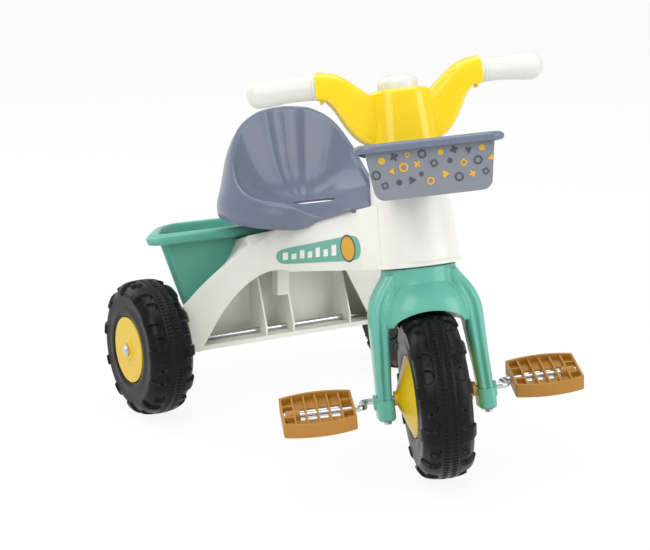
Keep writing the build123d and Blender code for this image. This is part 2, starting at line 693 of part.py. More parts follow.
with BuildPart() as frame:
    add(shell_outside)
    add(shell_inside, mode=Mode.SUBTRACT)
    # lower edges: flat under the legs, rising along the beam, arched between the legs
    with BuildSketch(Plane.XZ):
        with BuildLine():
            Polyline(
                (behind(-2 * LEG_HALF), -1),
                (behind(-2 * LEG_HALF), FRAME_FOOT_Z),
                (behind(BEAM_FOOT_X), FRAME_FOOT_Z),
                (behind(BEAM_FOOT_X), BEAM_FOOT_Z),
                (behind(BEAM_EDGE_X), BEAM_EDGE_Z),
                (behind(WHEELBASE), -1),
                close=True,
            )
        make_face()
    extrude(amount=LEG_HALF + 1, both=True, mode=Mode.SUBTRACT)
    arch = [
        (BEAM_HALF + 4, BEAM_FOOT_Z),
        (BEAM_HALF + 29, BEAM_FOOT_Z - 29),
        (BEAM_HALF + 66, BEAM_FOOT_Z - 80),
        (LEG_HALF * 0.82, FRAME_FOOT_Z + 10),
        (LEG_HALF * 0.87, FRAME_FOOT_Z - 2),
    ]
    with BuildSketch(Plane.YZ.offset(behind(REAR_WALL_X + 2 * FRAME_WALL))):
        with BuildLine():
            Spline(*arch)
            Polyline(arch[-1], (0, FRAME_FOOT_Z - 2), (0, BEAM_FOOT_Z), arch[0])
        make_face()
        mirror(about=Plane.YZ)
    extrude(amount=BEAM_FOOT_X - REAR_WALL_X, mode=Mode.SUBTRACT)
    # tray under the axle, and the ribs that press on it
    tray_depth = LEG_FACE_X - REAR_WALL_X
    with Locations((behind(REAR_WALL_X), 0, FRAME_FOOT_Z)):
        Box(
            tray_depth - FRAME_WALL,
            2 * LEG_HALF - 2 * FRAME_WALL,
            TRAY_FLOOR,
            align=(Align.MIN, Align.CENTER, Align.MIN),
        )
    with BuildPart(mode=Mode.PRIVATE) as ribs:
        for rib_y in RIB_PLACES:
            with BuildSketch(Plane.XZ.offset(-rib_y - FRAME_WALL / 2)):
                with BuildLine():
                    Polyline(
                        (behind(REAR_WALL_X + 1), FRAME_FOOT_Z + 1),
                        (behind(LEG_FACE_X - 2 * FRAME_WALL), FRAME_FOOT_Z + 1),
                        (behind(LEG_FACE_X - 2 * FRAME_WALL), REAR_R + AXLE_D),
                        (behind(REAR_WALL_X + 4 * FRAME_WALL), RIB_TOP_Z),
                        (behind(REAR_WALL_X + 1), RIB_TOP_Z),
                        close=True,
                    )
                make_face()
            extrude(amount=FRAME_WALL)
        add(shell_outside, mode=Mode.INTERSECT)
    add(ribs.part)
    with BuildSketch(Plane.XY.offset(TOWER_FOOT_Z)):
        with Locations((behind(TOWER_X), TOWER_Y)):
            Rectangle(TOWER_DEPTH, TOWER_WIDTH)
    extrude(amount=deck_height(TOWER_X - TOWER_DEPTH / 2) - TOWER_FOOT_Z - 1)
    # steering column with its two bearing plates
    add(column_solid(0))
    with BuildSketch(HEAD.offset(COLUMN_FOOT - 1)):
        Circle(COLUMN_FOOT_D / 2 - FRAME_WALL)
    with BuildSketch(HEAD.offset(LOWER_PLATE)):
        Circle(COLUMN_FOOT_D / 2 - FRAME_WALL - 2)
    loft(mode=Mode.SUBTRACT)
    with BuildSketch(HEAD.offset(LOWER_PLATE + FRAME_WALL)):
        Circle(COLUMN_FOOT_D / 2 - FRAME_WALL - 2)
    with BuildSketch(HEAD.offset(COLUMN_TOP - FRAME_WALL)):
        Circle(COLUMN_TOP_D / 2 - FRAME_WALL)
    loft(mode=Mode.SUBTRACT)
    with BuildSketch(HEAD.offset(COLUMN_FOOT - 1)):
        Circle(BUSH_R + RUNNING)
    extrude(amount=COLUMN_TOP, mode=Mode.SUBTRACT)
    # holes for the axle, the seat screws and the bucket screws
    with Locations(Location((REAR_AXLE_X, 0, REAR_R), (90, 0, 0))):
        Cylinder(AXLE_D / 2 + RUNNING, 3 * LEG_HALF, mode=Mode.SUBTRACT)
    with Locations([(behind(x), 0, deck_height(x)) for x in SEAT_POST_X]):
        Cylinder(SCREW_D / 2, 8 * FRAME_WALL, mode=Mode.SUBTRACT)
    bucket_screw_z = BUCKET_RIM_Z - BUCKET_SCREW_DROP
    for side in SIDES.values():
        place = (behind(REAR_WALL_X), side * BUCKET_SCREW_Y, bucket_screw_z)
        with Locations(Location(place, (0, 90, 0))):
            Cylinder(SCREW_D / 2, 6 * FRAME_WALL, mode=Mode.SUBTRACT)
write(frame, "frame")

# Steering bushes, pressed into the column's plates
for name, plate, flange_side in (("lower_bush", LOWER_PLATE, -1), ("upper_bush", COLUMN_TOP, 1)):
    with BuildPart() as bush:
        flange_start = plate if flange_side > 0 else plate - BUSH_FLANGE
        with BuildSketch(Plane.XY.offset(flange_start)):
            Circle(STEM_SHOULDER_D / 2)
            Circle(STEM_D / 2 + RUNNING, mode=Mode.SUBTRACT)
        extrude(amount=BUSH_FLANGE)
        with BuildSketch(Plane.XY.offset(plate)):
            Circle(BUSH_R)
            Circle(STEM_D / 2 + RUNNING, mode=Mode.SUBTRACT)
        extrude(amount=-flange_side * 4 * FRAME_WALL)
    write(bush, name, HEAD.location)


# Seat: a dome with its front scooped out, a nose along the beam and a hand slot

def dome_face(inset):
    """Half section of the seat's dome about its upright axis, drawn in by the inset."""
    radius = SEAT_R - inset
    rise = SEAT_BACK_Z - inset - SEAT_FOOT_Z
    side = [
        (radius, SEAT_FOOT_Z - inset / 3),
        (radius * 0.99, SEAT_FOOT_Z + rise * 0.22),
        (radius * 0.83, SEAT_FOOT_Z + rise * 0.62),
        (radius * 0.52, SEAT_FOOT_Z + rise * 0.93),
        (0, SEAT_BACK_Z - inset),
    ]
    with BuildSketch(Plane.XZ, mode=Mode.PRIVATE) as face:
        with BuildLine():
            Spline(*side, tangents=((0, 1), (-1, 0)))
            Polyline(side[-1], (0, side[0][1]), side[0])
        make_face()
    return face.sketch


def nose_height(x):
    """Height of the top of the seat's nose at a length ahead of the rear axle."""
    return deck_height(x) + SEAT_NOSE_RISE


NOSE_TOP_Z = nose_height(SEAT_NOSE_X)
PAN_RISES = (6.0, 10.0)
pan = [
    (behind(SEAT_X - 83), SEAT_BACK_Z - 12),
    (behind(SEAT_X - 60), SEAT_PAN_Z + 38),
    (behind(SEAT_POST_X[0]), SEAT_PAN_Z + PAN_RISES[0]),
    (behind(SEAT_X + 22), SEAT_PAN_Z),
    (behind(SEAT_POST_X[1]), SEAT_PAN_Z + PAN_RISES[1]),
    (behind(NOSE_START_X), nose_height(NOSE_START_X) - 3),
    (behind(SEAT_NOSE_X), NOSE_TOP_Z),
]
rim = [
    (behind(SEAT_X - 52), SEAT_BACK_Z + 12),
    (behind(SEAT_X - 32), SEAT_BACK_Z - 15),
    (behind(SEAT_X - 4), SEAT_BACK_Z - 72),
    (behind(SEAT_X + 32), SEAT_PAN_Z + 20),
    (behind(SEAT_POST_X[1]), SEAT_PAN_Z + PAN_RISES[1] + 4),
    (behind(NOSE_START_X), nose_height(NOSE_START_X)),
    (behind(SEAT_NOSE_X - 35), nose_height(SEAT_NOSE_X - 35)),
    (behind(SEAT_NOSE_X), NOSE_TOP_Z + 1),
]
SEAT_AXIS = Axis((behind(SEAT_X), 0, 0), (0, 0, 1))
SEAT_PLACE = Location((behind(SEAT_X), 0, 0))
SKY = 2 * SEAT_BACK_Z


def above(line):
    """Upright wall of space above a line drawn along the middle of the seat."""
    front = behind(WHEELBASE)
    with BuildPart() as space:
        with BuildSketch(Plane.XZ):
            with BuildLine():
                Spline(*line)
                end_x, end_z = line[-1]
                Polyline((end_x, end_z), (front, end_z), (front, SKY), (line[0][0], SKY), line[0])
            make_face()
        extrude(amount=2 * SEAT_R, both=True)
    return space.part


def seat_dome(inset):
    """Solid of the seat's dome, drawn in by the inset."""
    with BuildPart() as dome:
        add(dome_face(inset))
        revolve(axis=Axis.Z)
    return dome.part.moved(SEAT_PLACE)


NOSE_BACK_X = SEAT_X + SEAT_R - 20
with BuildPart() as seat:
    add(seat_dome(0))
    with BuildSketch(Plane.XZ):
        with BuildLine():
            Polyline(
                (behind(SEAT_X), SEAT_FOOT_Z + 4),
                (behind(NOSE_BACK_X), SEAT_FOOT_Z + 12),
                (behind(NOSE_BACK_X + 50), deck_height(NOSE_BACK_X + 50) - 8),
                (behind(SEAT_NOSE_X), deck_height(SEAT_NOSE_X) - 8),
                (behind(SEAT_NOSE_X), NOSE_TOP_Z),
                (behind(SEAT_X), NOSE_TOP_Z),
                close=True,
            )
        make_face()
    extrude(amount=SEAT_NOSE_HALF + SEATED, both=True)
    add(above(rim), mode=Mode.SUBTRACT)
    add(seat_dome(SEAT_RIM).intersect(above(pan)), mode=Mode.SUBTRACT)
    underside = [(x, z - SEAT_WALL - 1) for x, z in pan]
    add(seat_dome(SEAT_WALL) - above(underside), mode=Mode.SUBTRACT)
    for x, rise in zip(SEAT_POST_X, PAN_RISES):
        with BuildSketch(Plane.XY.offset(DECK_REAR_Z)):
            with Locations((behind(x), 0)):
                Circle(SEAT_POST_D / 2)
        extrude(amount=SEAT_PAN_Z + rise - SEAT_WALL - DECK_REAR_Z)
    add(frame_solid(-SEATED), mode=Mode.SUBTRACT)
    add(column_solid(-SEATED), mode=Mode.SUBTRACT)
    with Locations([(behind(x), 0, deck_height(x)) for x in SEAT_POST_X]):
        Cylinder(SCREW_D / 2, 2 * SCREW_REACH, mode=Mode.SUBTRACT)
    with BuildSketch(Plane.XY.offset(SEAT_FOOT_Z)):
        with Locations((behind(SLOT_X), 0)):
            Ellipse(SLOT_WIDTH / 2, SLOT_LENGTH / 2)
    extrude(amount=SEAT_BACK_Z - SEAT_FOOT_Z, mode=Mode.SUBTRACT)
write(seat, "seat")

DECK_SLOPE = (DECK_FRONT_Z - DECK_REAR_Z) / (DECK_FRONT_X - REAR_WALL_X)
with BuildPart() as seat_screws:
    for x in SEAT_POST_X:
        head_top = deck_height(x) - FRAME_WALL - DECK_SLOPE * SCREW_HEAD_D / 2 - SEATED
        with Locations((behind(x), 0, head_top)):
            Cylinder(SCREW_HEAD_D / 2, SCREW_HEAD, align=(Align.CENTER, Align.CENTER, Align.MAX))
            reach = deck_height(x) + SCREW_REACH - head_top
            Cylinder(SCREW_D / 2, reach, align=(Align.CENTER, Align.CENTER, Align.MIN))
write(seat_screws, "seat_screws")

# Rear bucket, tipped back, with its front wall upright against the frame's rear wall
bucket_ahead = Vector(cos(radians(BUCKET_TIP)), 0, sin(radians(BUCKET_TIP)))
bucket_up = Vector(-sin(radians(BUCKET_TIP)), 0, cos(radians(BUCKET_TIP)))
BUCKET_FACE_X = behind(REAR_WALL_X) - SEATED
BUCKET = Plane((BUCKET_FACE_X, 0, BUCKET_RIM_Z), x_dir=bucket_ahead, z_dir=bucket_up)


def bucket_section(depth_down, inset):
    """Rounded outline of the bucket at a depth below its rim, drawn in by the inset."""
    share = depth_down / BUCKET_HEIGHT
    front = -depth_down * tan(radians(BUCKET_TIP))
    back = -BUCKET_DEPTH + BUCKET_TAPER * 0.4 * share
    half = BUCKET_HALF - BUCKET_TAPER * share
    corner = BUCKET_CORNER - BUCKET_TAPER * 0.4 * share
    with BuildSketch(BUCKET.offset(-depth_down)) as outline:
        with BuildLine():
            ahead = front - inset
            behind_it = back + inset
            wide = half - inset
            narrow = wide - BUCKET_NARROWING
            Polyline((ahead, wide), (behind_it, narrow), (behind_it, -narrow), (ahead, -wide), close=True)
        make_face()
        fillet(outline.vertices().group_by(Axis.X)[-1], BUCKET_FRONT_CORNER - max(inset, 0))
        fillet(outline.vertices().group_by(Axis.X)[0], corner - inset)
    return outline.sketch


with BuildPart() as rear_bucket:
    lip_outline = bucket_section(0, -BUCKET_LIP)
    extrude(lip_outline, amount=-BUCKET_LIP_HEIGHT)
    lip_room = bucket_section(BUCKET_WALL, BUCKET_WALL - BUCKET_LIP)
    extrude(lip_room, amount=-BUCKET_LIP_HEIGHT, mode=Mode.SUBTRACT)
    loft([bucket_section(BUCKET_HEIGHT, 0), bucket_section(0, 0)])
    room_foot = bucket_section(BUCKET_HEIGHT - BUCKET_WALL, BUCKET_WALL)
    loft([room_foot, bucket_section(-1, BUCKET_WALL)], mode=Mode.SUBTRACT)
    for side in SIDES.values():
        place = (BUCKET_FACE_X, side * BUCKET_SCREW_Y, bucket_screw_z)
        with Locations(Location(place, (0, 90, 0))):
            Cylinder(SCREW_D / 2, 6 * BUCKET_WALL, mode=Mode.SUBTRACT)
write(rear_bucket, "rear_bucket")

with BuildPart() as bucket_screws:
    for side in SIDES.values():
        inside = BUCKET_FACE_X - BUCKET_WALL - SEATED
        with Locations(Location((inside, side * BUCKET_SCREW_Y, bucket_screw_z), (0, 90, 0))):
            Cylinder(SCREW_D / 2, SCREW_REACH, align=(Align.CENTER, Align.CENTER, Align.MIN))
            Cylinder(SCREW_HEAD_D / 2, SCREW_HEAD, align=(Align.CENTER, Align.CENTER, Align.MAX))
write(bucket_screws, "bucket_screws")


# Basket, about the steering axis, clamped on the stem by its tongue

def basket_section(height, inset):
    """Rounded outline of the basket at a height, drawn in by the inset."""
    share = (BASKET_TOP - height) / (BASKET_TOP - BASKET_FOOT)
    front = BASKET_FRONT - BASKET_TAPER / 2 * share
    half = BASKET_HALF - BASKET_TAPER * share
    with BuildSketch(Plane.XY.offset(height)) as outline:
        with Locations(((front + BASKET_REAR) / 2, 0)):
            RectangleRounded(front - BASKET_REAR - 2 * inset, 2 * (half - inset), BASKET_CORNER - inset)
    return outline.sketch


with BuildPart() as basket_tub:
    loft([basket_section(BASKET_FOOT, 0), basket_section(BASKET_TOP, 0)])
    fillet(basket_tub.edges().group_by(Axis.Z)[0], BASKET_CORNER / 2)

tongue_foot = COLUMN_TOP + BUSH_FLANGE + WASHER_GAP
with BuildPart() as basket:
    extrude(basket_section(BASKET_TOP, -BASKET_LIP), amount=-BASKET_LIP_HEIGHT)
    fillet(basket.edges().group_by(Axis.Z)[-1], BASKET_WALL * 0.8)
    lip_room = basket_section(BASKET_TOP - BASKET_WALL, BASKET_WALL - BASKET_LIP)
    extrude(lip_room, amount=-BASKET_LIP_HEIGHT, mode=Mode.SUBTRACT)
    add(basket_tub.part)
    with BuildSketch(Plane.XY.offset(tongue_foot)):
        Circle(TONGUE_D / 2)
        with Locations((BASKET_REAR / 2, 0)):
            Rectangle(BASKET_REAR + BASKET_WALL, TONGUE_D * 0.8)
    extrude(amount=TONGUE_THICK)
    room_foot = basket_section(BASKET_FOOT + BASKET_WALL, BASKET_WALL)
    loft([room_foot, basket_section(BASKET_TOP + 1, BASKET_WALL)], mode=Mode.SUBTRACT)
    with BuildSketch(Plane.XY.offset(tongue_foot - 1)):
        Circle(STEM_D / 2 + SEATED)
    extrude(amount=2 * TONGUE_THICK, mode=Mode.SUBTRACT)
write(basket, "basket", STEERED)

# Handlebar: a hollow box over the stem, two rising arms and a peg for each grip
ARM_STATIONS = (
    (22.0, 0.0, GRIP_HEIGHT - 50, 64.0, 46.0, 15.0),
    (42.0, 0.0, GRIP_HEIGHT - 43, 60.0, 44.0, 32.0),
    (64.0, 1.0, GRIP_HEIGHT - 16, 44.0, 40.0, 45.0),
    (86.0, 2.0, GRIP_HEIGHT - 1, 38.0, 38.0, 22.0),
    (GRIP_START, 3.0, GRIP_HEIGHT + 1, ARM_END_D, ARM_END_D, 0.0),
)
GRIP_AHEAD = ARM_STATIONS[-1][1]


def sweep_way(side):
    """Direction outward along a grip."""
    return Vector(-sin(radians(GRIP_SWEEP)), side * cos(radians(GRIP_SWEEP)), 0)


def arm_loft(side, inset, count):
    """Arm as a loft through ellipses, drawn in by the inset."""
    with BuildPart() as arm:
        for across, ahead, height, tall, deep, climb in ARM_STATIONS[:count]:
            way = Vector(0, side * cos(radians(climb)), sin(radians(climb)))
            last = across == GRIP_START
            normal = sweep_way(side) if last else way
            up = Vector(0, -side * sin(radians(climb)), cos(radians(climb)))
            with BuildSketch(Plane((ahead, side * across, height), x_dir=up, z_dir=normal)):
                Ellipse(tall / 2 - inset, deep / 2 - inset)
        loft()
    return arm.part


def box_section(height, inset):
    """Rounded outline of the handlebar's box at a height."""
    share = (height - BOX_FOOT) / (BOX_TOP - BOX_FOOT)
    width = BOX_FOOT_WIDTH + (BOX_TOP_WIDTH - BOX_FOOT_WIDTH) * share
    depth = BOX_FOOT_DEPTH + (BOX_TOP_DEPTH - BOX_FOOT_DEPTH) * share
    with BuildSketch(Plane.XY.offset(height)) as outline:
        RectangleRounded(depth - 2 * inset, width - 2 * inset, BOX_CORNER - inset)
    return outline.sketch


SHELF = STEM_TOP + 2
with BuildPart() as handlebar:
    loft([box_section(BOX_FOOT, 0), box_section(BOX_TOP, 0)])
    fillet(handlebar.edges().group_by(Axis.Z)[-1], BAR_WALL - 0.5)
    for side in SIDES.values():
        add(arm_loft(side, 0, len(ARM_STATIONS)))
    for side in SIDES.values():
        add(arm_loft(side, BAR_WALL, len(ARM_STATIONS) - 1), mode=Mode.SUBTRACT)
    room_top = box_section(BOX_TOP - BAR_WALL, BAR_WALL)
    loft([box_section(BOX_FOOT - 1, BAR_WALL), room_top], mode=Mode.SUBTRACT)
    # socket for the stem, on two cross ribs, closed above by a shelf
    with BuildSketch(Plane.XY.offset(BOX_FOOT)):
        Circle(STEM_D / 2 + BAR_WALL + SEATED)
        Rectangle(BOX_TOP_DEPTH, BAR_WALL)
        Rectangle(BAR_WALL, BOX_TOP_WIDTH)
    extrude(amount=SHELF - BOX_FOOT)
    extrude(box_section(SHELF, BAR_WALL / 2), amount=BAR_WALL)
    with BuildSketch(Plane.XY.offset(BOX_FOOT - 1)):
        Circle(STEM_D / 2 + SEATED)
    extrude(amount=SHELF - BOX_FOOT + 1, mode=Mode.SUBTRACT)
    with BuildSketch(Plane.XY.offset(BOX_TOP + 1)):
        Circle(HORN_D / 2 + RUNNING)
    extrude(amount=-BAR_WALL - 2, mode=Mode.SUBTRACT)
    for side in SIDES.values():
        root = Vector(GRIP_AHEAD, side * GRIP_START, GRIP_HEIGHT) - sweep_way(side) * PEG_D
        with BuildSketch(Plane(root, z_dir=sweep_way(side))):
            Circle(PEG_D / 2)
        extrude(amount=PEG_D + GRIP_LENGTH * 0.85)
    with Locations(Location((0, 0, STEM_SCREW_HEIGHT), (0, 90, 0))):
        Cylinder(SCREW_D / 2, BOX_FOOT_DEPTH + 2, mode=Mode.SUBTRACT)
write(handlebar, "handlebar", STEERED)

screw_share = (STEM_SCREW_HEIGHT - SCREW_HEAD_D / 2 - BOX_FOOT) / (BOX_TOP - BOX_FOOT)
box_back = (BOX_FOOT_DEPTH + (BOX_TOP_DEPTH - BOX_FOOT_DEPTH) * screw_share) / 2 + SEATED
with BuildPart() as stem_screw:
    with Locations(Location((-box_back, 0, STEM_SCREW_HEIGHT), (0, 90, 0))):
        Cylinder(SCREW_D / 2, 2 * box_back - BAR_WALL, align=(Align.CENTER, Align.CENTER, Align.MIN))
        Cylinder(SCREW_HEAD_D / 2, SCREW_HEAD, align=(Align.CENTER, Align.CENTER, Align.MAX))
write(stem_screw, "stem_screw", STEERED)

# Grips, turned about the Y axis from their inner end
with BuildPart() as grip:
    peg_room = PEG_D / 2 + RUNNING
    peg_end = GRIP_LENGTH * 0.85 + SEATED
    with BuildSketch(Plane.YZ):
        with BuildLine():
            Line((0, peg_room), (0, GRIP_FLANGE_D / 2))
            Line((0, GRIP_FLANGE_D / 2), (4, GRIP_FLANGE_D / 2))
            Line((4, GRIP_FLANGE_D / 2), (6, GRIP_WAIST_D / 2))
            Spline(
                (6, GRIP_WAIST_D / 2),
                (GRIP_LENGTH * 0.5, GRIP_WAIST_D / 2 + 0.6),
                (GRIP_LENGTH - 14, GRIP_D / 2),
                (GRIP_LENGTH, 0),
                tangents=((1, 0), (0, -1)),
            )
            Polyline((GRIP_LENGTH, 0), (peg_end, 0), (peg_end, peg_room), (0, peg_room))
        make_face()
    revolve(axis=Axis.Y)
for corner, side in SIDES.items():
    grip_x = Vector(cos(radians(GRIP_SWEEP)), side * sin(radians(GRIP_SWEEP)), 0)
    start = Vector(GRIP_AHEAD, side * GRIP_START, GRIP_HEIGHT) + sweep_way(side) * SEATED
    turned = grip_x if side > 0 else -grip_x
    grip_plane = Plane(start, x_dir=turned, z_dir=(0, 0, 1))
    write(grip, f"grip_{corner}", STEERED * grip_plane.location)

# Horn button and the bellows under it
button_foot = BOX_TOP - BAR_WALL - HORN_SKIRT
with BuildPart() as horn_button:
    flange_top = BOX_TOP - BAR_WALL - SEATED
    with BuildSketch(Plane.XZ):
        with BuildLine():
            Polyline(
                (0, button_foot),
                (HORN_FLANGE_D / 2, button_foot),
                (HORN_FLANGE_D / 2, flange_top),
                (HORN_D / 2, flange_top),
                (HORN_D / 2, BOX_TOP + HORN_RISE * 0.4),
            )
            Spline(
                (HORN_D / 2, BOX_TOP + HORN_RISE * 0.4),
                (HORN_D / 2 * 0.8, BOX_TOP + HORN_RISE * 0.83),
                (0, BOX_TOP + HORN_RISE),
                tangents=((0, 1), (-1, 0)),
            )
            Line((0, BOX_TOP + HORN_RISE), (0, button_foot))
        make_face()
    revolve(axis=Axis.Z)
write(horn_button, "horn_button", STEERED)

bellows_foot = SHELF + BAR_WALL
with BuildPart() as horn_bellows:
    fold = (button_foot - SEATED - bellows_foot) / 4
    outer = BELLOWS_D / 2
    neck = outer - 2 * BELLOWS_WALL
    zigzag = [(outer if n % 2 else neck, bellows_foot + n * fold) for n in range(5)]
    back_down = [(r - BELLOWS_WALL, z) for r, z in reversed(zigzag)]
    with BuildSketch(Plane.XZ):
        with BuildLine():
            Polyline(*zigzag, *back_down, close=True)
        make_face()
    revolve(axis=Axis.Z)
write(horn_bellows, "horn_bellows", STEERED)
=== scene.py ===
"""Looks of a children's tricycle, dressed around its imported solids.

Metres, in the frame of the solids: X ahead, Y to the rider's left, Z up, the ground at zero.
"""

import json

import bpy
import numpy as np
from mathutils import Matrix, Vector


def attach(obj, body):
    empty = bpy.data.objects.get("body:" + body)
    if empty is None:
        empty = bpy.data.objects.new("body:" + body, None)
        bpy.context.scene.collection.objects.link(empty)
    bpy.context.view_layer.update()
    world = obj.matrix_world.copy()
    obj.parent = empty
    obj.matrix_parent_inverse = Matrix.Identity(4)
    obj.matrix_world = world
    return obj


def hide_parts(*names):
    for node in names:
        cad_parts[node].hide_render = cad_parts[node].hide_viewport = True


bl_info = {
    "name": "Children's tricycle",
    "version": (1, 0, 0),
    "blender": (4, 5, 0),
    "location": "View3D > Sidebar > Tricycle",
    "description": "Builds the looks of a children's tricycle around its solids",
    "category": "Object",
}

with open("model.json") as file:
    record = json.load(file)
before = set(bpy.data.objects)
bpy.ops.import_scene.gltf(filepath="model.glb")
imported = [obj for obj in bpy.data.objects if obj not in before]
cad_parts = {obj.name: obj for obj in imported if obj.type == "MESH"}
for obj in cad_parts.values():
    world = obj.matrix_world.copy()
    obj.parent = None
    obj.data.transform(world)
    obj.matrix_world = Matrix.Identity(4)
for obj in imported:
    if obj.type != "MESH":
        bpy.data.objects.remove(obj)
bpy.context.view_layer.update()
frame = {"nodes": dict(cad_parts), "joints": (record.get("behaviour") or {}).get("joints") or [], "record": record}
JOINTS = {joint["name"]: joint for joint in frame["joints"]}
MM = 0.001
SIDES = (("right", -1), ("left", 1))


# Places that the frame gives

def joint_place(name):
    """Position and axis of a joint at rest."""
    joint = JOINTS[name]
    return Vector(joint.get("pos_m") or (0, 0, 0)), Vector(joint["axis"]).normalized()


def basis(origin, x_axis, y_axis, z_axis):
    """Matrix that takes a piece's own axes to the frame."""
    turn = Matrix((x_axis, y_axis, z_axis)).transposed()
    return Matrix.Translation(origin) @ turn.to_4x4()


HEAD_ORIGIN, HEAD_UP = joint_place("steer")
FRONT_AXLE, FRONT_ACROSS = joint_place("front_wheel_spin")
HEAD_AHEAD = FRONT_ACROSS.cross(HEAD_UP)
STEERED = basis(HEAD_ORIGIN, HEAD_AHEAD, FRONT_ACROSS, HEAD_UP)
FRONT_WHEEL = basis(FRONT_AXLE, HEAD_AHEAD, FRONT_ACROSS, HEAD_UP)
REAR_AXLE_X = joint_place("rear_wheel_right_spin")[0].x


def hue(name, about, value):
    """Setting for one colour, as an sRGB hex value."""
    return bpy.props.StringProperty(name=name, description=about, default=value)


def span(name, about, value):
    """Setting for one length in metres."""
    return bpy.props.FloatProperty(name=name, description=about, default=value, unit="LENGTH")


class TricycleColours(bpy.types.PropertyGroup):
    """Colours of the mouldings, as sRGB hex values."""

    yellow: hue("Yellow", "Handlebar", "#EDCA06")
    hub: hue("Hub yellow", "Hubs", "#D8B414")
    slate: hue("Slate", "Seat and basket", "#646C80")
    teal: hue("Teal", "Fork and bucket", "#60AE9C")
    white: hue("Off-white", "Frame", "#E4E4DC")
    pale: hue("Pale grey", "Grips and horn", "#D3D5CD")
    ochre: hue("Ochre", "Pedals", "#A8762A")
    black: hue("Black", "Tyres", "#0B090A")
    steel: hue("Steel", "Axle and crank", "#C9CACC")
    film_grey: hue("Panel", "Printed panel", "#7A8088")
    film_teal: hue("Banner", "Printed banner", "#68A896")
    charcoal: hue("Charcoal ink", "Dark motifs", "#4A4E55")
    ochre_ink: hue("Ochre ink", "Warm motifs", "#D2A02F")
    white_ink: hue("White ink", "Dashes", "#E8E6DE")


class TricycleSizes(bpy.types.PropertyGroup):
    """Sizes of the wheels."""

    front_wheel: span("Front wheel", "Diameter of the front tyre", 0.2205)
    front_hub: span("Front hub", "Diameter of the front hub", 0.108)
    rear_wheel: span("Rear wheel", "Diameter of a rear tyre", 0.1975)
    rear_hub: span("Rear hub", "Diameter of a rear hub", 0.096)


class TricycleStage(bpy.types.PropertyGroup):
    """Camera and floor."""

    lens: bpy.props.FloatProperty(
        name="Lens", description="Focal length of the camera", default=84.93, subtype="DISTANCE_CAMERA"
    )
    camera_place: bpy.props.FloatVectorProperty(
        name="Camera",
        description="Place of the camera",
        default=(1.7901, -1.0918, 0.7319),
        subtype="TRANSLATION",
    )
    azimuth: bpy.props.FloatProperty(
        name="Azimuth",
        description="Heading of the camera's look",
        default=np.radians(149.4926),
        subtype="ANGLE",
    )
    dip: bpy.props.FloatProperty(
        name="Dip", description="Angle of the look below level", default=np.radians(13.7267), subtype="ANGLE"
    )
    floor: hue("Floor", "Colour of the floor", "#F4F4F4")


# Materials

def linear(colour):
    """Turn an sRGB hex value into linear red, green, blue and alpha."""
    parts = [int(colour[n:n + 2], 16) / 255 for n in (1, 3, 5)]
    return [c / 12.92 if c <= 0.04045 else ((c + 0.055) / 1.055) ** 2.4 for c in parts] + [1.0]


def add_node(material, kind, settings=None, **links):
    """Add a node, set its properties and sockets, and link its named inputs."""
    tree = material.node_tree
    node = tree.nodes.new(kind)
    for key, value in (settings or {}).items():
        if hasattr(node, key):
            setattr(node, key, value)
        else:
            node.inputs[key].default_value = value
    for key, source in links.items():
        tree.links.new(source, node.inputs[key.replace("_", " ")])
    return node


def new_material(name):
    """Node material with nothing in it yet."""
    material = bpy.data.materials.new(name)
    material.use_nodes = True
    material.node_tree.nodes.clear()
    return material


def moulded_plastic(name, colour, roughness, coat, grit_mm, grit_depth, sheen=0.4):
    """Injection-moulded plastic: one even colour with a faint drift, and a soft gloss.

    The mould's fine grit is drawn coarser than it is, so that it shows.
    """
    material = new_material(name)
    place = add_node(material, "ShaderNodeTexCoord").outputs["Object"]
    drift = add_node(material, "ShaderNodeTexNoise", {"Scale": 14.0, "Detail": 2.0}, Vector=place)
    grain = {"Scale": 1 / (grit_mm * MM), "Detail": 3.0}
    grit = add_node(material, "ShaderNodeTexNoise", grain, Vector=place)
    base = linear(colour)
    low = [c * 0.95 for c in base[:3]] + [1.0]
    high = [min(1.0, c * 1.04) for c in base[:3]] + [1.0]
    tint = add_node(material, "ShaderNodeMix", {"data_type": "RGBA"})
    tint.inputs[6].default_value = low
    tint.inputs[7].default_value = high
    material.node_tree.links.new(drift.outputs["Fac"], tint.inputs[0])
    gloss = add_node(
        material,
        "ShaderNodeMapRange",
        {"To Min": roughness - 0.04, "To Max": roughness + 0.05},
        Value=drift.outputs["Fac"],
    )
    bump = add_node(
        material, "ShaderNodeBump", {"Strength": grit_depth, "Distance": 0.2 * MM}, Height=grit.outputs["Fac"]
    )
    shader = add_node(
        material,
        "ShaderNodeBsdfPrincipled",
        {"IOR": 1.49, "Coat Weight": coat, "Coat Roughness": 0.12, "Specular IOR Level": sheen},
        Base_Color=tint.outputs[2],
        Roughness=gloss.outputs["Result"],
        Normal=bump.outputs["Normal"],
    )
    add_node(material, "ShaderNodeOutputMaterial", Surface=shader.outputs["BSDF"])
    return material


def plated_steel(name, colour):
    """Bright zinc-plated rod: smooth drawn steel, a little clouded by its plating."""
    material = new_material(name)
    place = add_node(material, "ShaderNodeTexCoord").outputs["Object"]
    cloud = add_node(material, "ShaderNodeTexNoise", {"Scale": 1 / (6 * MM), "Detail": 4.0}, Vector=place)
    gloss = add_node(
        material, "ShaderNodeMapRange", {"To Min": 0.14, "To Max": 0.3}, Value=cloud.outputs["Fac"]
    )
    shader = add_node(
        material,
        "ShaderNodeBsdfPrincipled",
        {"Base Color": linear(colour), "Metallic": 1.0},
        Roughness=gloss.outputs["Result"],
    )
    add_node(material, "ShaderNodeOutputMaterial", Surface=shader.outputs["BSDF"])
    return material


PAPER_GLOW = 0.9


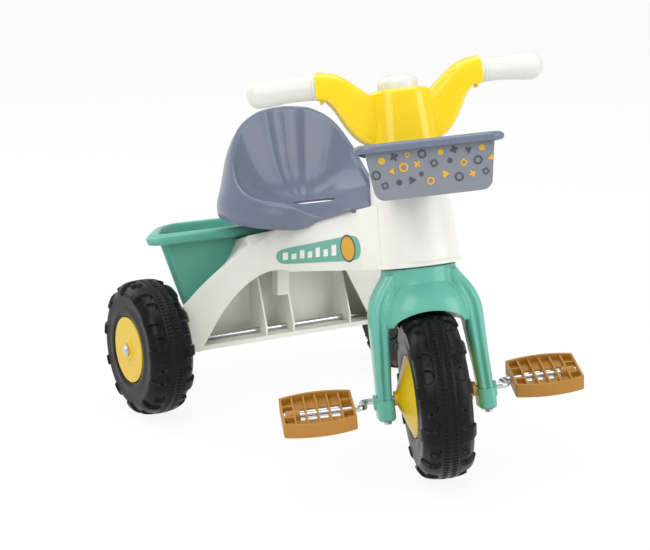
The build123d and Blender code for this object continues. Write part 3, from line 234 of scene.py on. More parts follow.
def studio_floor(name, colour):
    """Matt paper sweep that stays near white to the eye and keeps a soft shadow."""
    material = new_material(name)
    paper = add_node(material, "ShaderNodeBsdfDiffuse", {"Color": linear(colour)})
    glow = add_node(material, "ShaderNodeEmission", {"Color": (1, 1, 1, 1), "Strength": 1.0})
    path = add_node(material, "ShaderNodeLightPath")
    link = material.node_tree.links.new
    seen = add_node(material, "ShaderNodeMath", {"operation": "MAXIMUM"})
    link(path.outputs["Is Camera Ray"], seen.inputs[0])
    link(path.outputs["Is Glossy Ray"], seen.inputs[1])
    share = add_node(material, "ShaderNodeMath", {"operation": "MULTIPLY"})
    link(seen.outputs[0], share.inputs[0])
    share.inputs[1].default_value = PAPER_GLOW
    mix = add_node(material, "ShaderNodeMixShader")
    for socket, source in enumerate((share, paper, glow)):
        link(source.outputs[0], mix.inputs[socket])
    add_node(material, "ShaderNodeOutputMaterial", Surface=mix.outputs[0])
    return material


MATERIALS = {}


def dress(obj, material):
    """Give an object one material."""
    obj.data.materials.clear()
    obj.data.materials.append(material)


class TRICYCLE_OT_finishes(bpy.types.Operator):
    """Make the finishes and give them to the solids"""

    bl_idname = "tricycle.finishes"
    bl_label = "Finishes"

    def execute(self, context):
        hues = context.scene.tricycle_colours
        MATERIALS.update(
            yellow=moulded_plastic("yellow_polypropylene", hues.yellow, 0.22, 0.35, 1.5, 0.02),
            hub=moulded_plastic("yellow_polyethylene", hues.hub, 0.34, 0.1, 1.2, 0.03),
            slate=moulded_plastic("slate_polypropylene", hues.slate, 0.30, 0.25, 1.2, 0.03),
            teal=moulded_plastic("teal_polypropylene", hues.teal, 0.30, 0.25, 1.2, 0.03),
            white=moulded_plastic("white_polypropylene", hues.white, 0.34, 0.15, 1.2, 0.03),
            pale=moulded_plastic("pale_polyethylene", hues.pale, 0.36, 0.1, 1.0, 0.04),
            ochre=moulded_plastic("ochre_polypropylene", hues.ochre, 0.42, 0.0, 1.0, 0.05),
            black=moulded_plastic("black_polyethylene", hues.black, 0.34, 0.0, 1.2, 0.04, 0.2),
            steel=plated_steel("plated_steel", hues.steel),
            film_grey=moulded_plastic("grey_print_film", hues.film_grey, 0.34, 0.1, 1.0, 0.01),
            film_charcoal=moulded_plastic("charcoal_ink", hues.charcoal, 0.4, 0.0, 1.0, 0.01),
            film_ochre=moulded_plastic("ochre_ink", hues.ochre_ink, 0.4, 0.0, 1.0, 0.01),
            film_teal=moulded_plastic("teal_print_film", hues.film_teal, 0.34, 0.1, 1.0, 0.01),
            film_white=moulded_plastic("white_ink", hues.white_ink, 0.4, 0.0, 1.0, 0.01),
        )
        finishes = {
            "yellow_plastic": "yellow", "slate_plastic": "slate", "teal_plastic": "teal",
            "white_plastic": "white", "grip_plastic": "pale", "ochre_plastic": "ochre",
            "black_plastic": "black", "inner_plastic": "white", "bright_steel": "steel", "soft_pvc": "black",
        }
        for side in ("right", "left"):
            finishes[f"rear_hub_outer_{side}"] = "hub"
            finishes[f"front_hub_{side}"] = "hub"
        for entry in frame["record"]["subparts"]:
            node = entry["node"]
            finish = finishes.get(node, finishes[entry["material_slot"]])
            dress(frame["nodes"][node], MATERIALS[finish])
        return {"FINISHED"}


# Shaping

def clear_selection():
    """Leave edit mode and deselect everything."""
    if bpy.context.object and bpy.context.object.mode != "OBJECT":
        bpy.ops.object.mode_set(mode="OBJECT")
    bpy.ops.object.select_all(action="DESELECT")


def activate(obj):
    """Make an object the active one and the only one selected."""
    clear_selection()
    obj.select_set(True)
    bpy.context.view_layer.objects.active = obj


def edit_all(obj, *steps):
    """Run mesh operators on the whole of an object."""
    activate(obj)
    bpy.ops.object.mode_set(mode="EDIT")
    for step, settings in steps:
        bpy.ops.mesh.select_all(action="SELECT")
        step(**settings)
    bpy.ops.object.mode_set(mode="OBJECT")


OUTWARD = (bpy.ops.mesh.normals_make_consistent, {"inside": False})


def merged(reach_mm):
    """Step that merges points within a reach."""
    return bpy.ops.mesh.remove_doubles, {"threshold": reach_mm * MM}


def wrapped_grid(name, columns, rows, place):
    """Add a grid and wrap it into a form: place turns its two shares into points in millimetres."""
    clear_selection()
    bpy.ops.mesh.primitive_grid_add(x_subdivisions=columns, y_subdivisions=rows, size=1)
    obj = bpy.context.object
    obj.name = name
    flat = np.empty(len(obj.data.vertices) * 3)
    obj.data.vertices.foreach_get("co", flat)
    shares = flat.reshape(-1, 3)[:, :2] + 0.5
    points = place(shares[:, 0], shares[:, 1]) * MM
    obj.data.vertices.foreach_set("co", points.ravel())
    obj.data.update()
    edit_all(obj, merged(0.005), OUTWARD)
    return obj


def settle(obj, place, body, finish, nodes=(), angle=40):
    """Set a finished piece in its place, dress it and hand it to the frame."""
    activate(obj)
    obj.matrix_world = place
    bpy.ops.object.transform_apply(location=True, rotation=True, scale=True)
    bpy.ops.object.shade_smooth_by_angle(angle=np.radians(angle))
    dress(obj, MATERIALS[finish])
    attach(obj, body)
    if nodes:
        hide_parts(*nodes)


def apply_modifier(obj, kind, **settings):
    """Add one modifier, set it and apply it."""
    activate(obj)
    modifier = obj.modifiers.new(kind.lower(), kind)
    for key, value in settings.items():
        setattr(modifier, key, value)
    bpy.ops.object.modifier_apply(modifier=modifier.name)


def face_outward(obj):
    """Turn every face of a closed piece outward."""
    edit_all(obj, OUTWARD)


def join(name, pieces):
    """Join pieces into one object."""
    clear_selection()
    for piece in pieces:
        piece.select_set(True)
    bpy.context.view_layer.objects.active = pieces[0]
    if len(pieces) > 1:
        bpy.ops.object.join()
    pieces[0].name = name
    return pieces[0]


def drop(obj):
    """Take a helper piece away."""
    bpy.data.objects.remove(obj, do_unlink=True)


def cut(obj, tool):
    """Take a tool's form out of a piece, and the tool away."""
    apply_modifier(obj, "BOOLEAN", operation="DIFFERENCE", object=tool, solver="MANIFOLD")
    drop(tool)


def solid_copy(node, name):
    """Copy a solid's mesh with its corners merged, ready for soft edges."""
    source = frame["nodes"][node]
    activate(source)
    bpy.ops.object.duplicate()
    obj = bpy.context.object
    obj.name = name
    obj.parent = None
    obj.matrix_world = source.matrix_world
    flattened = (bpy.ops.mesh.dissolve_limited, {"angle_limit": np.radians(0.5)})
    edit_all(obj, merged(0.002), flattened, OUTWARD)
    return obj


def smooth_step(low, high, value):
    """Ease from 0 at the low value to 1 at the high one."""
    share = np.clip((value - low) / (high - low), 0, 1)
    return share * share * (3 - 2 * share)


def eased(value, knots, levels, spread):
    """Read a table with its bends rounded over the spread."""
    reach = 3 * spread
    steps = np.linspace(-reach, reach, 41)
    weights = np.exp(-0.5 * (steps / spread) ** 2)
    fine = np.linspace(knots[0], knots[-1], 600)
    soft = sum(w * np.interp(fine + d, knots, levels) for w, d in zip(weights, steps)) / weights.sum()
    return np.interp(value, fine, soft)


def capped(along, cap):
    """Share of the way and shrink of the section, for a form closed by a cap at each end."""
    knots = (0, cap, 1 - cap, 1)
    return np.interp(along, knots, (0, 0, 1, 1)), np.interp(along, knots, (0, 1, 1, 0))


def smooth_min(a, b, blend):
    """Smaller of two distances, with the corner between them rounded."""
    mix = np.clip(0.5 + 0.5 * (b - a) / blend, 0, 1)
    return b + (a - b) * mix - blend * mix * (1 - mix)


def rounded(points, times):
    """Cut the corners of a closed outline a few times."""
    for _ in range(times):
        after = np.roll(points, -1, axis=0)
        pairs = np.stack((0.75 * points + 0.25 * after, 0.25 * points + 0.75 * after), axis=1)
        points = pairs.reshape(-1, points.shape[1])
    return points


def rounded_rectangle(share, half_x, half_y, back, front):
    """Point on a rectangle with round corners; each straight and corner takes an eighth of the way."""
    eighth = (share % 1.0) * 8
    side = np.floor(eighth / 2).astype(int) % 4
    part = eighth - 2 * np.floor(eighth / 2)
    turn = np.radians(90.0) * side
    out_x, out_y = np.cos(turn), np.sin(turn)
    half_out = np.where(side % 2 == 0, half_x, half_y)
    half_along = np.where(side % 2 == 0, half_y, half_x)
    before = np.where(side < 2, front, back)
    after = np.where((side == 0) | (side == 3), front, back)
    swing = np.radians(90.0) * np.clip(part - 1, 0, 1)
    straight = np.clip(part, 0, 1)
    out = half_out - after + after * np.cos(swing)
    along = (before - half_along) * (1 - straight) + (half_along - after) * straight + after * np.sin(swing)
    return out_x * out - out_y * along, out_y * out + out_x * along


def tub(name, columns, profile, section, narrowing=0.0):
    """Wrap a grid round a section that narrows to its back; the profile lists height, offset and shrink."""
    profile = np.array(profile, dtype=float)
    rows = len(profile) - 1
    knots = np.linspace(0, 1, rows + 1)

    def place(across, along):
        height, offset, shrink = (np.interp(along, knots, profile[:, n]) for n in range(3))
        middle, half_x, half_y, back, front = section(height)
        back = np.maximum(back + offset, 0.5)
        front = np.maximum(front + np.minimum(offset, 0), 0.5)
        x, y = rounded_rectangle(across, half_x + offset, half_y + offset, back, front)
        y = y * (1 - narrowing * (half_x - np.minimum(x, half_x)) / (2 * half_x))
        return np.stack((middle + x * shrink, y * shrink, height), axis=1)

    return wrapped_grid(name, columns, rows, place)


# Wheels
LUGS = 11
TYRE_HALF = 36.0
LUG_HEIGHT = 4.0
LUG_END = 45.0
SLOTS = 10
MIDDLE_BAND = 13.0


def tyre_section(radius, hub_radius):
    """Closed outline of a tyre as way from the middle line, distance across and radius."""
    half = [
        (23, radius), (TYRE_HALF, radius - 14), (TYRE_HALF - 0.5, radius - 28),
        (TYRE_HALF - 2, hub_radius + 8), (TYRE_HALF - 5, hub_radius - 0.5), (TYRE_HALF - 8, hub_radius + 2),
        (0, hub_radius + 2),
    ]
    outline = rounded(np.array(half + [(-y, r) for y, r in reversed(half)], dtype=float), 4)
    steps = np.hypot(*(np.roll(outline, -1, axis=0) - outline).T)
    way = np.concatenate(([0], np.cumsum(steps)))
    loop = np.vstack((outline, outline[:1]))
    start = np.interp(0, *np.array(sorted((y, w) for (y, r), w in zip(loop, way) if r > radius - 1)).T)
    return loop, way, start


def build_tyre(name, radius, hub_radius):
    """Blow-moulded tyre: lugs over the shoulders between two-lobed pockets, and two rows of slots."""
    loop, way, start = tyre_section(radius, hub_radius)
    length = way[-1]
    fine = np.linspace(-length / 2, length / 2, 4000)
    crowd = np.where(abs(fine) < MIDDLE_BAND, 1.0, np.where(abs(fine) < 50, 0.55, 0.16))
    spread = np.concatenate(([0], np.cumsum((crowd[1:] + crowd[:-1]) / 2)))
    spread /= spread[-1]
    pitch = 2 * np.pi * radius / LUGS
    half_pocket = 0.33 * pitch
    finger = 3.0
    lobe = (half_pocket - finger) / 2

    def place(across, along):
        signed = np.interp(along, spread, fine)
        spot = (start + signed) % length
        y = np.interp(spot, way, loop[:, 0])
        r = np.interp(spot, way, loop[:, 1])
        ahead = (spot + 0.4) % length
        behind = (spot - 0.4) % length
        slope_y = np.interp(ahead, way, loop[:, 0]) - np.interp(behind, way, loop[:, 0])
        slope_r = np.interp(ahead, way, loop[:, 1]) - np.interp(behind, way, loop[:, 1])
        steep = np.hypot(slope_y, slope_r)
        out_y, out_r = -slope_r / steep, slope_y / steep
        flip = np.where(out_y * y + out_r * (r - hub_radius) < 0, -1.0, 1.0)
        out_y, out_r = out_y * flip, out_r * flip
        side = abs(((across * LUGS) % 1.0) - 0.5)
        arc = (0.5 - side) * pitch
        reach = abs(signed)
        # two round lobes joined into one pocket that runs out over the shoulder
        lobe_middle = finger + lobe
        lobe_start = MIDDLE_BAND + lobe
        lobes = np.hypot(arc - lobe_middle, np.minimum(0, reach - lobe_start)) - lobe
        shared = np.maximum(28.0 - reach, arc - half_pocket)
        pocket = smooth_min(smooth_min(lobes, shared, 5.0), LUG_END - reach, 2.0)
        low = smooth_step(1.1, -1.1, pocket)
        depth = low * np.where(reach > 34, 2.6 + 1.4 * smooth_step(46, 34, reach), LUG_HEIGHT)
        depth = depth * smooth_step(70, 58, reach)
        # band along the middle: a line on each side and two rows of slots
        depth = depth + 0.9 * np.exp(-(((reach - 11.2) / 0.8) ** 2))
        rung = abs(((across * LUGS * SLOTS) % 1.0) - 0.5) * 2
        row = smooth_step(2.0, 3.0, reach) * smooth_step(9.2, 8.2, reach)
        depth = depth + 1.3 * row * smooth_step(0.52, 0.72, rung)
        depth = depth + 0.5 * np.exp(-((reach / 0.8) ** 2))
        r = r - out_r * depth
        y = y - out_y * depth
        angle = 2 * np.pi * across
        return np.stack((r * np.sin(angle), y, r * np.cos(angle)), axis=1)

    return wrapped_grid(name, LUGS * 60, 120, place)


class TRICYCLE_OT_tyres(bpy.types.Operator):
    """Mould the three tyres with their lugs and slots"""

    bl_idname = "tricycle.tyres"
    bl_label = "Tyres"

    def execute(self, context):
        sizes = context.scene.tricycle_sizes
        front = build_tyre("tyre_front", sizes.front_wheel / MM / 2, sizes.front_hub / MM / 2)
        settle(front, FRONT_WHEEL, "front_wheel", "black", ["front_tyre"], 50)
        for side in ("right", "left"):
            place = Matrix.Translation(joint_place(f"rear_wheel_{side}_spin")[0])
            rear = build_tyre(f"tyre_rear_{side}", sizes.rear_wheel / MM / 2, sizes.rear_hub / MM / 2)
            settle(rear, place, f"rear_wheel_{side}", "black", [f"rear_tyre_{side}"], 50)
        return {"FINISHED"}


# Handlebar, in the steering frame
BOX_FOOT = 315.0
BOX_TOP = 396.0
BOX_CORNER = 27.0
GRIP_HEIGHT = 410.0
GRIP_START = 104.0
GRIP_SWEEP = np.radians(14.0)
GRIP_LENGTH = 94.0
GRIP_ROUNDING = 0.84
ARM_BLEND = 5.0


def box_section(height):
    """Middle, half sizes and corners of the handlebar's box at a height."""
    share = (height - BOX_FOOT) / (BOX_TOP - BOX_FOOT)
    return 0 * share, 38.0 - 5.0 * share, 45.0 - 5.5 * share, BOX_CORNER + 0 * share, BOX_CORNER + 0 * share


def build_box():
    """Box over the stem, with a swelling front and a soft top edge."""
    profile = [(BOX_FOOT, -12, 0), (BOX_FOOT, -12, 0.6), (BOX_FOOT, -4, 1), (BOX_FOOT + 1, -1, 1)]
    profile += [(z, 0, 1) for z in np.linspace(BOX_FOOT + 3, BOX_TOP - 7, 14)]
    bend = np.radians(np.arange(12, 91, 13))
    profile += [(BOX_TOP - 7 + 7 * np.sin(a), -7 + 7 * np.cos(a), 1) for a in bend]
    profile += [(BOX_TOP, -9, 1), (BOX_TOP, -9, 0.8), (BOX_TOP, -9, 0)]
    box = tub("handlebar_box", 128, profile, box_section)
    flat = np.empty(len(box.data.vertices) * 3)
    box.data.vertices.foreach_get("co", flat)
    points = flat.reshape(-1, 3)
    swell = 6.0 * MM * np.clip(1 - (points[:, 1] / (42 * MM)) ** 2, 0, 1)
    points[:, 0] += np.where(points[:, 0] > 0, swell, -swell) * np.clip(abs(points[:, 0]) / (30 * MM), 0, 1)
    box.data.vertices.foreach_set("co", points.ravel())
    box.data.update()
    return box


ARM_STATIONS = np.array((
    # across, ahead, height, tall, deep
    (20.0, 0.0, GRIP_HEIGHT - 56, 68.0, 54.0),
    (38.0, 0.0, GRIP_HEIGHT - 52, 63.0, 51.0),
    (50.0, 0.0, GRIP_HEIGHT - 42, 55.0, 47.0),
    (60.0, 0.5, GRIP_HEIGHT - 30, 47.0, 44.0),
    (72.0, 1.0, GRIP_HEIGHT - 15, 40.0, 41.0),
    (86.0, 2.0, GRIP_HEIGHT - 3, 37.5, 38.5),
    (GRIP_START, 3.0, GRIP_HEIGHT + 1, 37.0, 37.0),
))


def build_arm(name, side):
    """Arm that rises from the box and narrows to the grip, with a soft top and a crisp lower edge."""
    knots = ARM_STATIONS[:, 0]
    rows = 56
    ways = np.concatenate(([0, 0], np.linspace(0, 1, rows - 5), [1, 1, 1, 1])) * np.ptp(knots) + knots[0]
    shrinks = np.concatenate(([0, 0.6], np.ones(rows - 5), [0.99, 0.93, 0.92, 0]))
    ends = np.concatenate((np.zeros(rows - 3), [0.6, 0.6, -5.0, -5.0]))
    steps = np.linspace(0, 1, rows + 1)

    def place(around, along):
        across = np.interp(along, steps, ways)
        shrink = np.interp(along, steps, shrinks)
        ahead, height, tall, deep = (eased(across, knots, ARM_STATIONS[:, n], ARM_BLEND) for n in range(1, 5))
        after, before = (eased(across + step, knots, ARM_STATIONS[:, 2], ARM_BLEND) for step in (0.5, -0.5))
        rise = after - before
        still = 0 * across
        turned = np.stack((-np.sin(GRIP_SWEEP) + still, np.cos(GRIP_SWEEP) + still, still), axis=1)
        way = np.stack((still, 1 + still, rise), axis=1)
        ease = smooth_step(82, GRIP_START, across)[:, None]
        way = way * (1 - ease) + turned * ease
        way = way / np.linalg.norm(way, axis=1)[:, None]
        front = np.array((1.0, 0, 0)) - way * way[:, :1]
        front = front / np.linalg.norm(front, axis=1)[:, None]
        up = np.cross(front, way)
        angle = 2 * np.pi * around
        c, s = np.cos(angle), np.sin(angle)
        power = 2 / np.where(s < 0, 7.0, 3.0 - 0.4 * smooth_step(60, GRIP_START, across))
        out = np.sign(c) * abs(c) ** power * deep / 2 * shrink
        lift = np.sign(s) * abs(s) ** power * tall / 2 * shrink
        centre = np.stack((ahead, across, height), axis=1)
        points = centre + front * out[:, None] + up * lift[:, None]
        points = points + turned * np.interp(along, steps, ends)[:, None]
        points[:, 1] *= side
        return points

    return wrapped_grid(name, 72, rows, place)


class TRICYCLE_OT_handlebar(bpy.types.Operator):
    """Mould the handlebar's box and arms"""

    bl_idname = "tricycle.handlebar"
    bl_label = "Handlebar"

    def execute(self, context):
        settle(build_box(), STEERED, "steering", "yellow", ["handlebar"])
        for name, side in SIDES:
            arm = build_arm(f"handlebar_arm_{name}", side)
            settle(arm, STEERED, "steering", "yellow")
            clear_selection()
            bpy.ops.mesh.primitive_cube_add(size=1)
            tab = bpy.context.object
            tab.name = f"handlebar_tab_{name}"
            tab.scale = Vector((10, 5, 8)) * MM
            bpy.ops.object.transform_apply(location=False, rotation=False, scale=True)
            apply_modifier(tab, "BEVEL", width=0.9 * MM, segments=3)
            spot = Vector((6.0, side * (GRIP_START - 3), GRIP_HEIGHT - 18.5)) * MM
            settle(tab, STEERED @ Matrix.Translation(spot), "steering", "yellow")
        return {"FINISHED"}


# Basket, in the steering frame
BASKET_FOOT = 255.0
BASKET_TOP = 321.0
BASKET_FRONT = 208.0
BASKET_BACK = 60.0
BASKET_HALF = 79.0
BASKET_LIP = 12.5
BASKET_WALL = 2.5
BASKET_NARROWING = 0.3


def basket_section(height):
    """Middle, half sizes, back corners and front corners of the basket at a height."""
    share = (BASKET_TOP - height) / (BASKET_TOP - BASKET_FOOT)
    front = BASKET_FRONT - 4.0 * share
    half_x = (front - BASKET_BACK) / 2
    return BASKET_BACK + half_x, half_x, BASKET_HALF - 9.5 * share, 14.0 + 0 * share, 20.0 + 0 * share


def rolled_rim(top, lip, drop, wall):
    """Profile of a rolled rim from the inner wall over the lip and back to the outer wall."""
    return [
        (top - 4, -wall, 1), (top - 1.6, -wall + 0.3, 1), (top - 0.4, -wall + 1.2, 1), (top, 1.5, 1),
        (top - 0.1, lip * 0.45, 1), (top - 0.9, lip * 0.7, 1), (top - 2.4, lip * 0.87, 1),
        (top - 4.6, lip * 0.97, 1), (top - drop * 0.6, lip, 1), (top - drop + 1.6, lip * 0.98, 1),
        (top - drop + 0.5, lip * 0.93, 1), (top - drop, lip * 0.86, 1), (top - drop + 0.3, lip * 0.78, 1),
        (top - drop + 3, lip * 0.72, 1), (top - drop + 5, lip * 0.6, 1), (top - drop + 5.5, lip * 0.2, 1),
        (top - drop + 4.5, 0, 1),
    ]


def tub_profile(foot, wall, fillet, rim, rows):
    """Profile of an open tub: inner floor, inner wall, rim, outer wall and underside."""
    bend = np.radians(np.linspace(0, 90, 7))
    inside = [(foot + wall + fillet * (1 - np.cos(a)), -wall - fillet * (1 - np.sin(a)), 1) for a in bend]
    outside = [(foot + fillet * (1 - np.cos(a)), -fillet * (1 - np.sin(a)), 1) for a in bend[::-1]]
    walls = np.linspace(foot + wall + fillet + 4, rim[0][0] - 4, rows)
    profile = [(foot + wall, -wall - fillet, 0), (foot + wall, -wall - fillet, 0.7)]
    profile += inside + [(z, -wall, 1) for z in walls] + rim
    profile += [(z, 0, 1) for z in np.linspace(rim[-1][0] - 4, foot + fillet + 4, rows)]
    profile += outside + [(foot, -fillet, 0.7), (foot, -fillet, 0)]
    return profile


class TRICYCLE_OT_basket(bpy.types.Operator):
    """Mould the front basket with its rolled rim"""

    bl_idname = "tricycle.basket"
    bl_label = "Basket"

    def execute(self, context):
        rim = rolled_rim(BASKET_TOP + 0.5, BASKET_LIP, 10.5, BASKET_WALL)
        profile = tub_profile(BASKET_FOOT, BASKET_WALL, 11.0, rim, 8)
        basket = tub("basket_tub", 192, profile, basket_section, BASKET_NARROWING)
        settle(basket, STEERED, "steering", "slate", ["basket"])
        return {"FINISHED"}


# Rear bucket, in a frame tipped back behind the rear wall
BUCKET_TIP = np.radians(6.4)
BUCKET_HEIGHT = 126.0
BUCKET_DEPTH = 121.0
BUCKET_HALF = 192.0
BUCKET_LIP = 17.0
BUCKET_WALL = 3.0
BUCKET_NARROWING = 0.344
BUCKET_FACE = Vector((REAR_AXLE_X - 33.3 * MM, 0, 256 * MM))
BUCKET_AHEAD = Vector((np.cos(BUCKET_TIP), 0, np.sin(BUCKET_TIP)))
BUCKET_UP = Vector((-np.sin(BUCKET_TIP), 0, np.cos(BUCKET_TIP)))
BUCKET_PLACE = basis(BUCKET_FACE, BUCKET_AHEAD, Vector((0, 1, 0)), BUCKET_UP)


def bucket_section(height):
    """Middle, half sizes, back corners and front corners of the bucket at a height below its rim."""
    share = -height / BUCKET_HEIGHT
    front = height * np.tan(BUCKET_TIP)
    back = -BUCKET_DEPTH + 18.0 * share
    half_y = BUCKET_HALF - 45.0 * share
    return (front + back) / 2, (front - back) / 2, half_y, 46.0 - 18.0 * share, 16.0 + 0 * share


class TRICYCLE_OT_bucket(bpy.types.Operator):
    """Mould the rear bucket with its rolled rim"""

    bl_idname = "tricycle.bucket"
    bl_label = "Rear bucket"

    def execute(self, context):
        rim = rolled_rim(0.0, BUCKET_LIP, 15.0, BUCKET_WALL)
        profile = tub_profile(-BUCKET_HEIGHT, BUCKET_WALL, 9.0, rim, 10)
        bucket = tub("bucket_tub", 256, profile, bucket_section, BUCKET_NARROWING)
        settle(bucket, BUCKET_PLACE, "frame", "teal", ["rear_bucket"])
        return {"FINISHED"}


# Grips and horn

def turned_form(name, columns, outline, axis_turn):
    """Wrap a grid round an axis: the outline lists the way along it and the radius."""
    outline = np.array(outline, dtype=float)
    knots = np.linspace(0, 1, len(outline))

    def place(around, along):
        way = np.interp(along, knots, outline[:, 0])
        radius = np.interp(along, knots, outline[:, 1])
        angle = 2 * np.pi * around
        return np.stack((radius * np.cos(angle), radius * np.sin(angle), way), axis=1) @ axis_turn

    return wrapped_grid(name, columns, len(outline) - 1, place)


ALONG_Y = np.array(((0, 0, 1.0), (1.0, 0, 0), (0, 1.0, 0)))


class TRICYCLE_OT_grips(bpy.types.Operator):
    """Turn the two grips with their collar and round end"""

    bl_idname = "tricycle.grips"
    bl_label = "Grips"

    def execute(self, context):
        outline = [
            (-3, 0), (-3, 14), (-3, 15.6), (1.6, 15.6), (1.8, 16.9), (2.3, 17.4), (5.0, 17.4),
            (5.5, 16.9), (6.0, 16.0), (7.0, 16.0), (7.6, 16.5), (9.6, 16.5), (10.2, 16.0),
        ]
        for share in np.linspace(0.12, GRIP_ROUNDING, 22):
            swell = 15.3 + 2.9 * smooth_step(0.35, 0.86, share) + 0.9 * smooth_step(0.34, 0.1, share)
            outline.append((share * GRIP_LENGTH, float(swell)))
        for a in np.radians(np.linspace(12, 90, 12)):
            share = GRIP_ROUNDING + (1 - GRIP_ROUNDING) * np.sin(a) ** 1.15
            outline.append((share * GRIP_LENGTH, 18.2 * np.cos(a) ** 0.7))
        outline[-1] = (GRIP_LENGTH, 0)
        for name, side in SIDES:
            grip = turned_form(f"grip_{name}_moulding", 64, outline, ALONG_Y)
            outward = Vector((-np.sin(GRIP_SWEEP), side * np.cos(GRIP_SWEEP), 0))
            start = Vector((3.0, side * GRIP_START, GRIP_HEIGHT)) * MM - outward * 1.0 * MM
            local = basis(start, outward.cross(Vector((0, 0, 1))), outward, Vector((0, 0, 1)))
            settle(grip, STEERED @ local, "steering", "pale", [f"grip_{name}"])
        return {"FINISHED"}


class TRICYCLE_OT_horn(bpy.types.Operator):
    """Turn the horn's round button"""

    bl_idname = "tricycle.horn"
    bl_label = "Horn"

    def execute(self, context):
        top = BOX_TOP + 21.0
        outline = [(BOX_TOP - 12, 0), (BOX_TOP - 12, 20), (BOX_TOP - 12, 26.6), (BOX_TOP - 6, 26.8)]
        outline += [(z, 26.9) for z in np.linspace(BOX_TOP - 2, BOX_TOP + 5, 6)]
        for a in np.radians(np.linspace(8, 90, 14)):
            outline.append((BOX_TOP + 5 + (top - BOX_TOP - 5) * np.sin(a), 26.9 * np.cos(a) ** 0.78))
        outline[-1] = (top, 0)
        horn = turned_form("horn_dome", 72, outline, np.eye(3))
        settle(horn, STEERED, "horn_button", "pale", ["horn_button"])
        return {"FINISHED"}


# Seat, round a middle line above the legs
SEAT_X = 55.0
SEAT_R = 120.0
SEAT_FOOT = 283.0
NOSE_X = 298.0
NOSE_HALF = 58.0
DECK_BACK = 234.0
DECK_RISE = 111.0
DECK_LENGTH = 328.0
SLOT_X = 99.0
SLOT_HALF_X = 15.0
SLOT_HALF_Y = 36.0
RIM_BAND = (
    (0, -7), (0.3, -4.5), (1.2, -2.2), (2.8, -0.7), (5, 0), (7.2, -0.7), (8.8, -2.2), (9.7, -4.5), (10.5, -7),
)


def deck_height(ahead):
    """Height of the beam's top at a distance ahead of the rear axle."""
    return DECK_BACK + DECK_RISE * ahead / DECK_LENGTH


def seat_outline(angle):
    """Radius of the seat's foot at an angle from straight ahead: a round dome and a nose."""
    c, s = np.cos(angle), abs(np.sin(angle))
    side = NOSE_HALF / np.maximum(s, 0.02)
    end = np.where(c > 0.1, (NOSE_X - SEAT_X) / np.maximum(c, 0.1), 2400.0)
    nose = np.where(c > 0, smooth_min(side, end, 16.0), 0.0)
    return -smooth_min(-nose, -SEAT_R + 0 * nose, 34.0)


SEAT_LEAN = (
    # height and share of the foot's radius
    (283, 290, 303, 320, 367, 390, 402, 414, 426, 437.5),
    (0.985, 1.005, 1.0, 0.962, 0.89, 0.822, 0.772, 0.69, 0.54, 0.25),
)
SEAT_RIM = (
    # angle from straight ahead and height
    (30, 58, 73, 85, 95, 107, 118, 135, 180),
    (321, 323, 329, 343, 364, 399, 422, 434.5, 437.5),
)
SEAT_NOSE = ((148, 180, 215, 240, 263, 298), (320, 315.5, 316, 323.5, 331, 343.5))
SEAT_FLOOR = ((-20, 15, 40, 77, 148, 190, 215, 298), (340, 316, 309.5, 308, 313, 311, 313, 342.5))


def build_seat():
    """Moulded seat: a dome cut open to a bowl, a rounded rim and a nose over the beam."""

    def form(angle):
        """Foot radius, way ahead, roundness, rim height and foot height at an angle."""
        swing = np.degrees(abs(angle))
        edge = seat_outline(angle)
        ahead = SEAT_X + edge * np.cos(angle)
        domed = smooth_step(24, 46, swing)
        rim = eased(swing, *SEAT_RIM, 4.5) * domed + eased(ahead, *SEAT_NOSE, 10) * (1 - domed)
        under = smooth_step(138, 205, ahead)
        foot = SEAT_FOOT * (1 - under) + (deck_height(ahead) + 0.5) * under
        return edge, ahead, domed, rim, foot

    def lean(height, domed):
        return 1 + (eased(height, *SEAT_LEAN, 2.0) - 1) * domed

    fine = np.linspace(-np.pi, np.pi, 6001)
    edge, _, domed, rim, _ = form(fine)
    upper = edge * lean(rim, domed)
    way = 0
    for reach, height in ((edge, 0 * edge), (upper, rim)):
        line = np.stack((reach * np.cos(fine), reach * np.sin(fine), height))
        way = way + np.concatenate(([0], np.cumsum(np.linalg.norm(np.diff(line, axis=1), axis=0))))
    way = way / way[-1]
    skirt_rows, bowl_rows = 24, 40
    rows = skirt_rows + len(RIM_BAND) + bowl_rows
    steps = np.linspace(0, 1, rows + 1)
    rise = np.concatenate((np.linspace(0, 1, skirt_rows + 1), np.ones(rows - skirt_rows)))
    band = np.vstack(([RIM_BAND[0]] * skirt_rows, RIM_BAND, [RIM_BAND[-1]] * (bowl_rows + 1)))
    inward = np.concatenate((np.zeros(rows + 1 - bowl_rows), np.linspace(0, 1, bowl_rows + 1)[1:]))

    def place(around, along):
        angle = np.interp(around, way, fine)
        edge, ahead, domed, rim, foot = form(angle)
        t = np.interp(along, steps, rise)
        height = foot + (rim - 7 - foot) * t
        radius = edge * lean(height, domed) - np.interp(along, steps, band[:, 0])
        height = height + (np.interp(along, steps, band[:, 1]) + 7) * (0.45 + 0.55 * domed)
        x = SEAT_X + radius * np.cos(angle)
        y = radius * np.sin(angle)
        s = np.interp(along, steps, inward)
        start = height - eased(x, *SEAT_FLOOR, 9)
        x = x + (SEAT_X + 22 - x) * s
        y = y * (1 - s)
        steep = 2.0 + 1.2 * smooth_step(330, 400, rim)
        height = np.where(s > 0, eased(x, *SEAT_FLOOR, 9) + start * (1 - s) ** steep, height)
        return np.stack((REAR_AXLE_X / MM + x, y, height), axis=1)

    seat = wrapped_grid("seat_moulding", 360, rows, place)
    apply_modifier(seat, "SMOOTH", factor=0.5, iterations=4)
    face_outward(seat)
    apply_modifier(seat, "SOLIDIFY", thickness=3 * MM, offset=-1)
    face_outward(seat)
    return seat


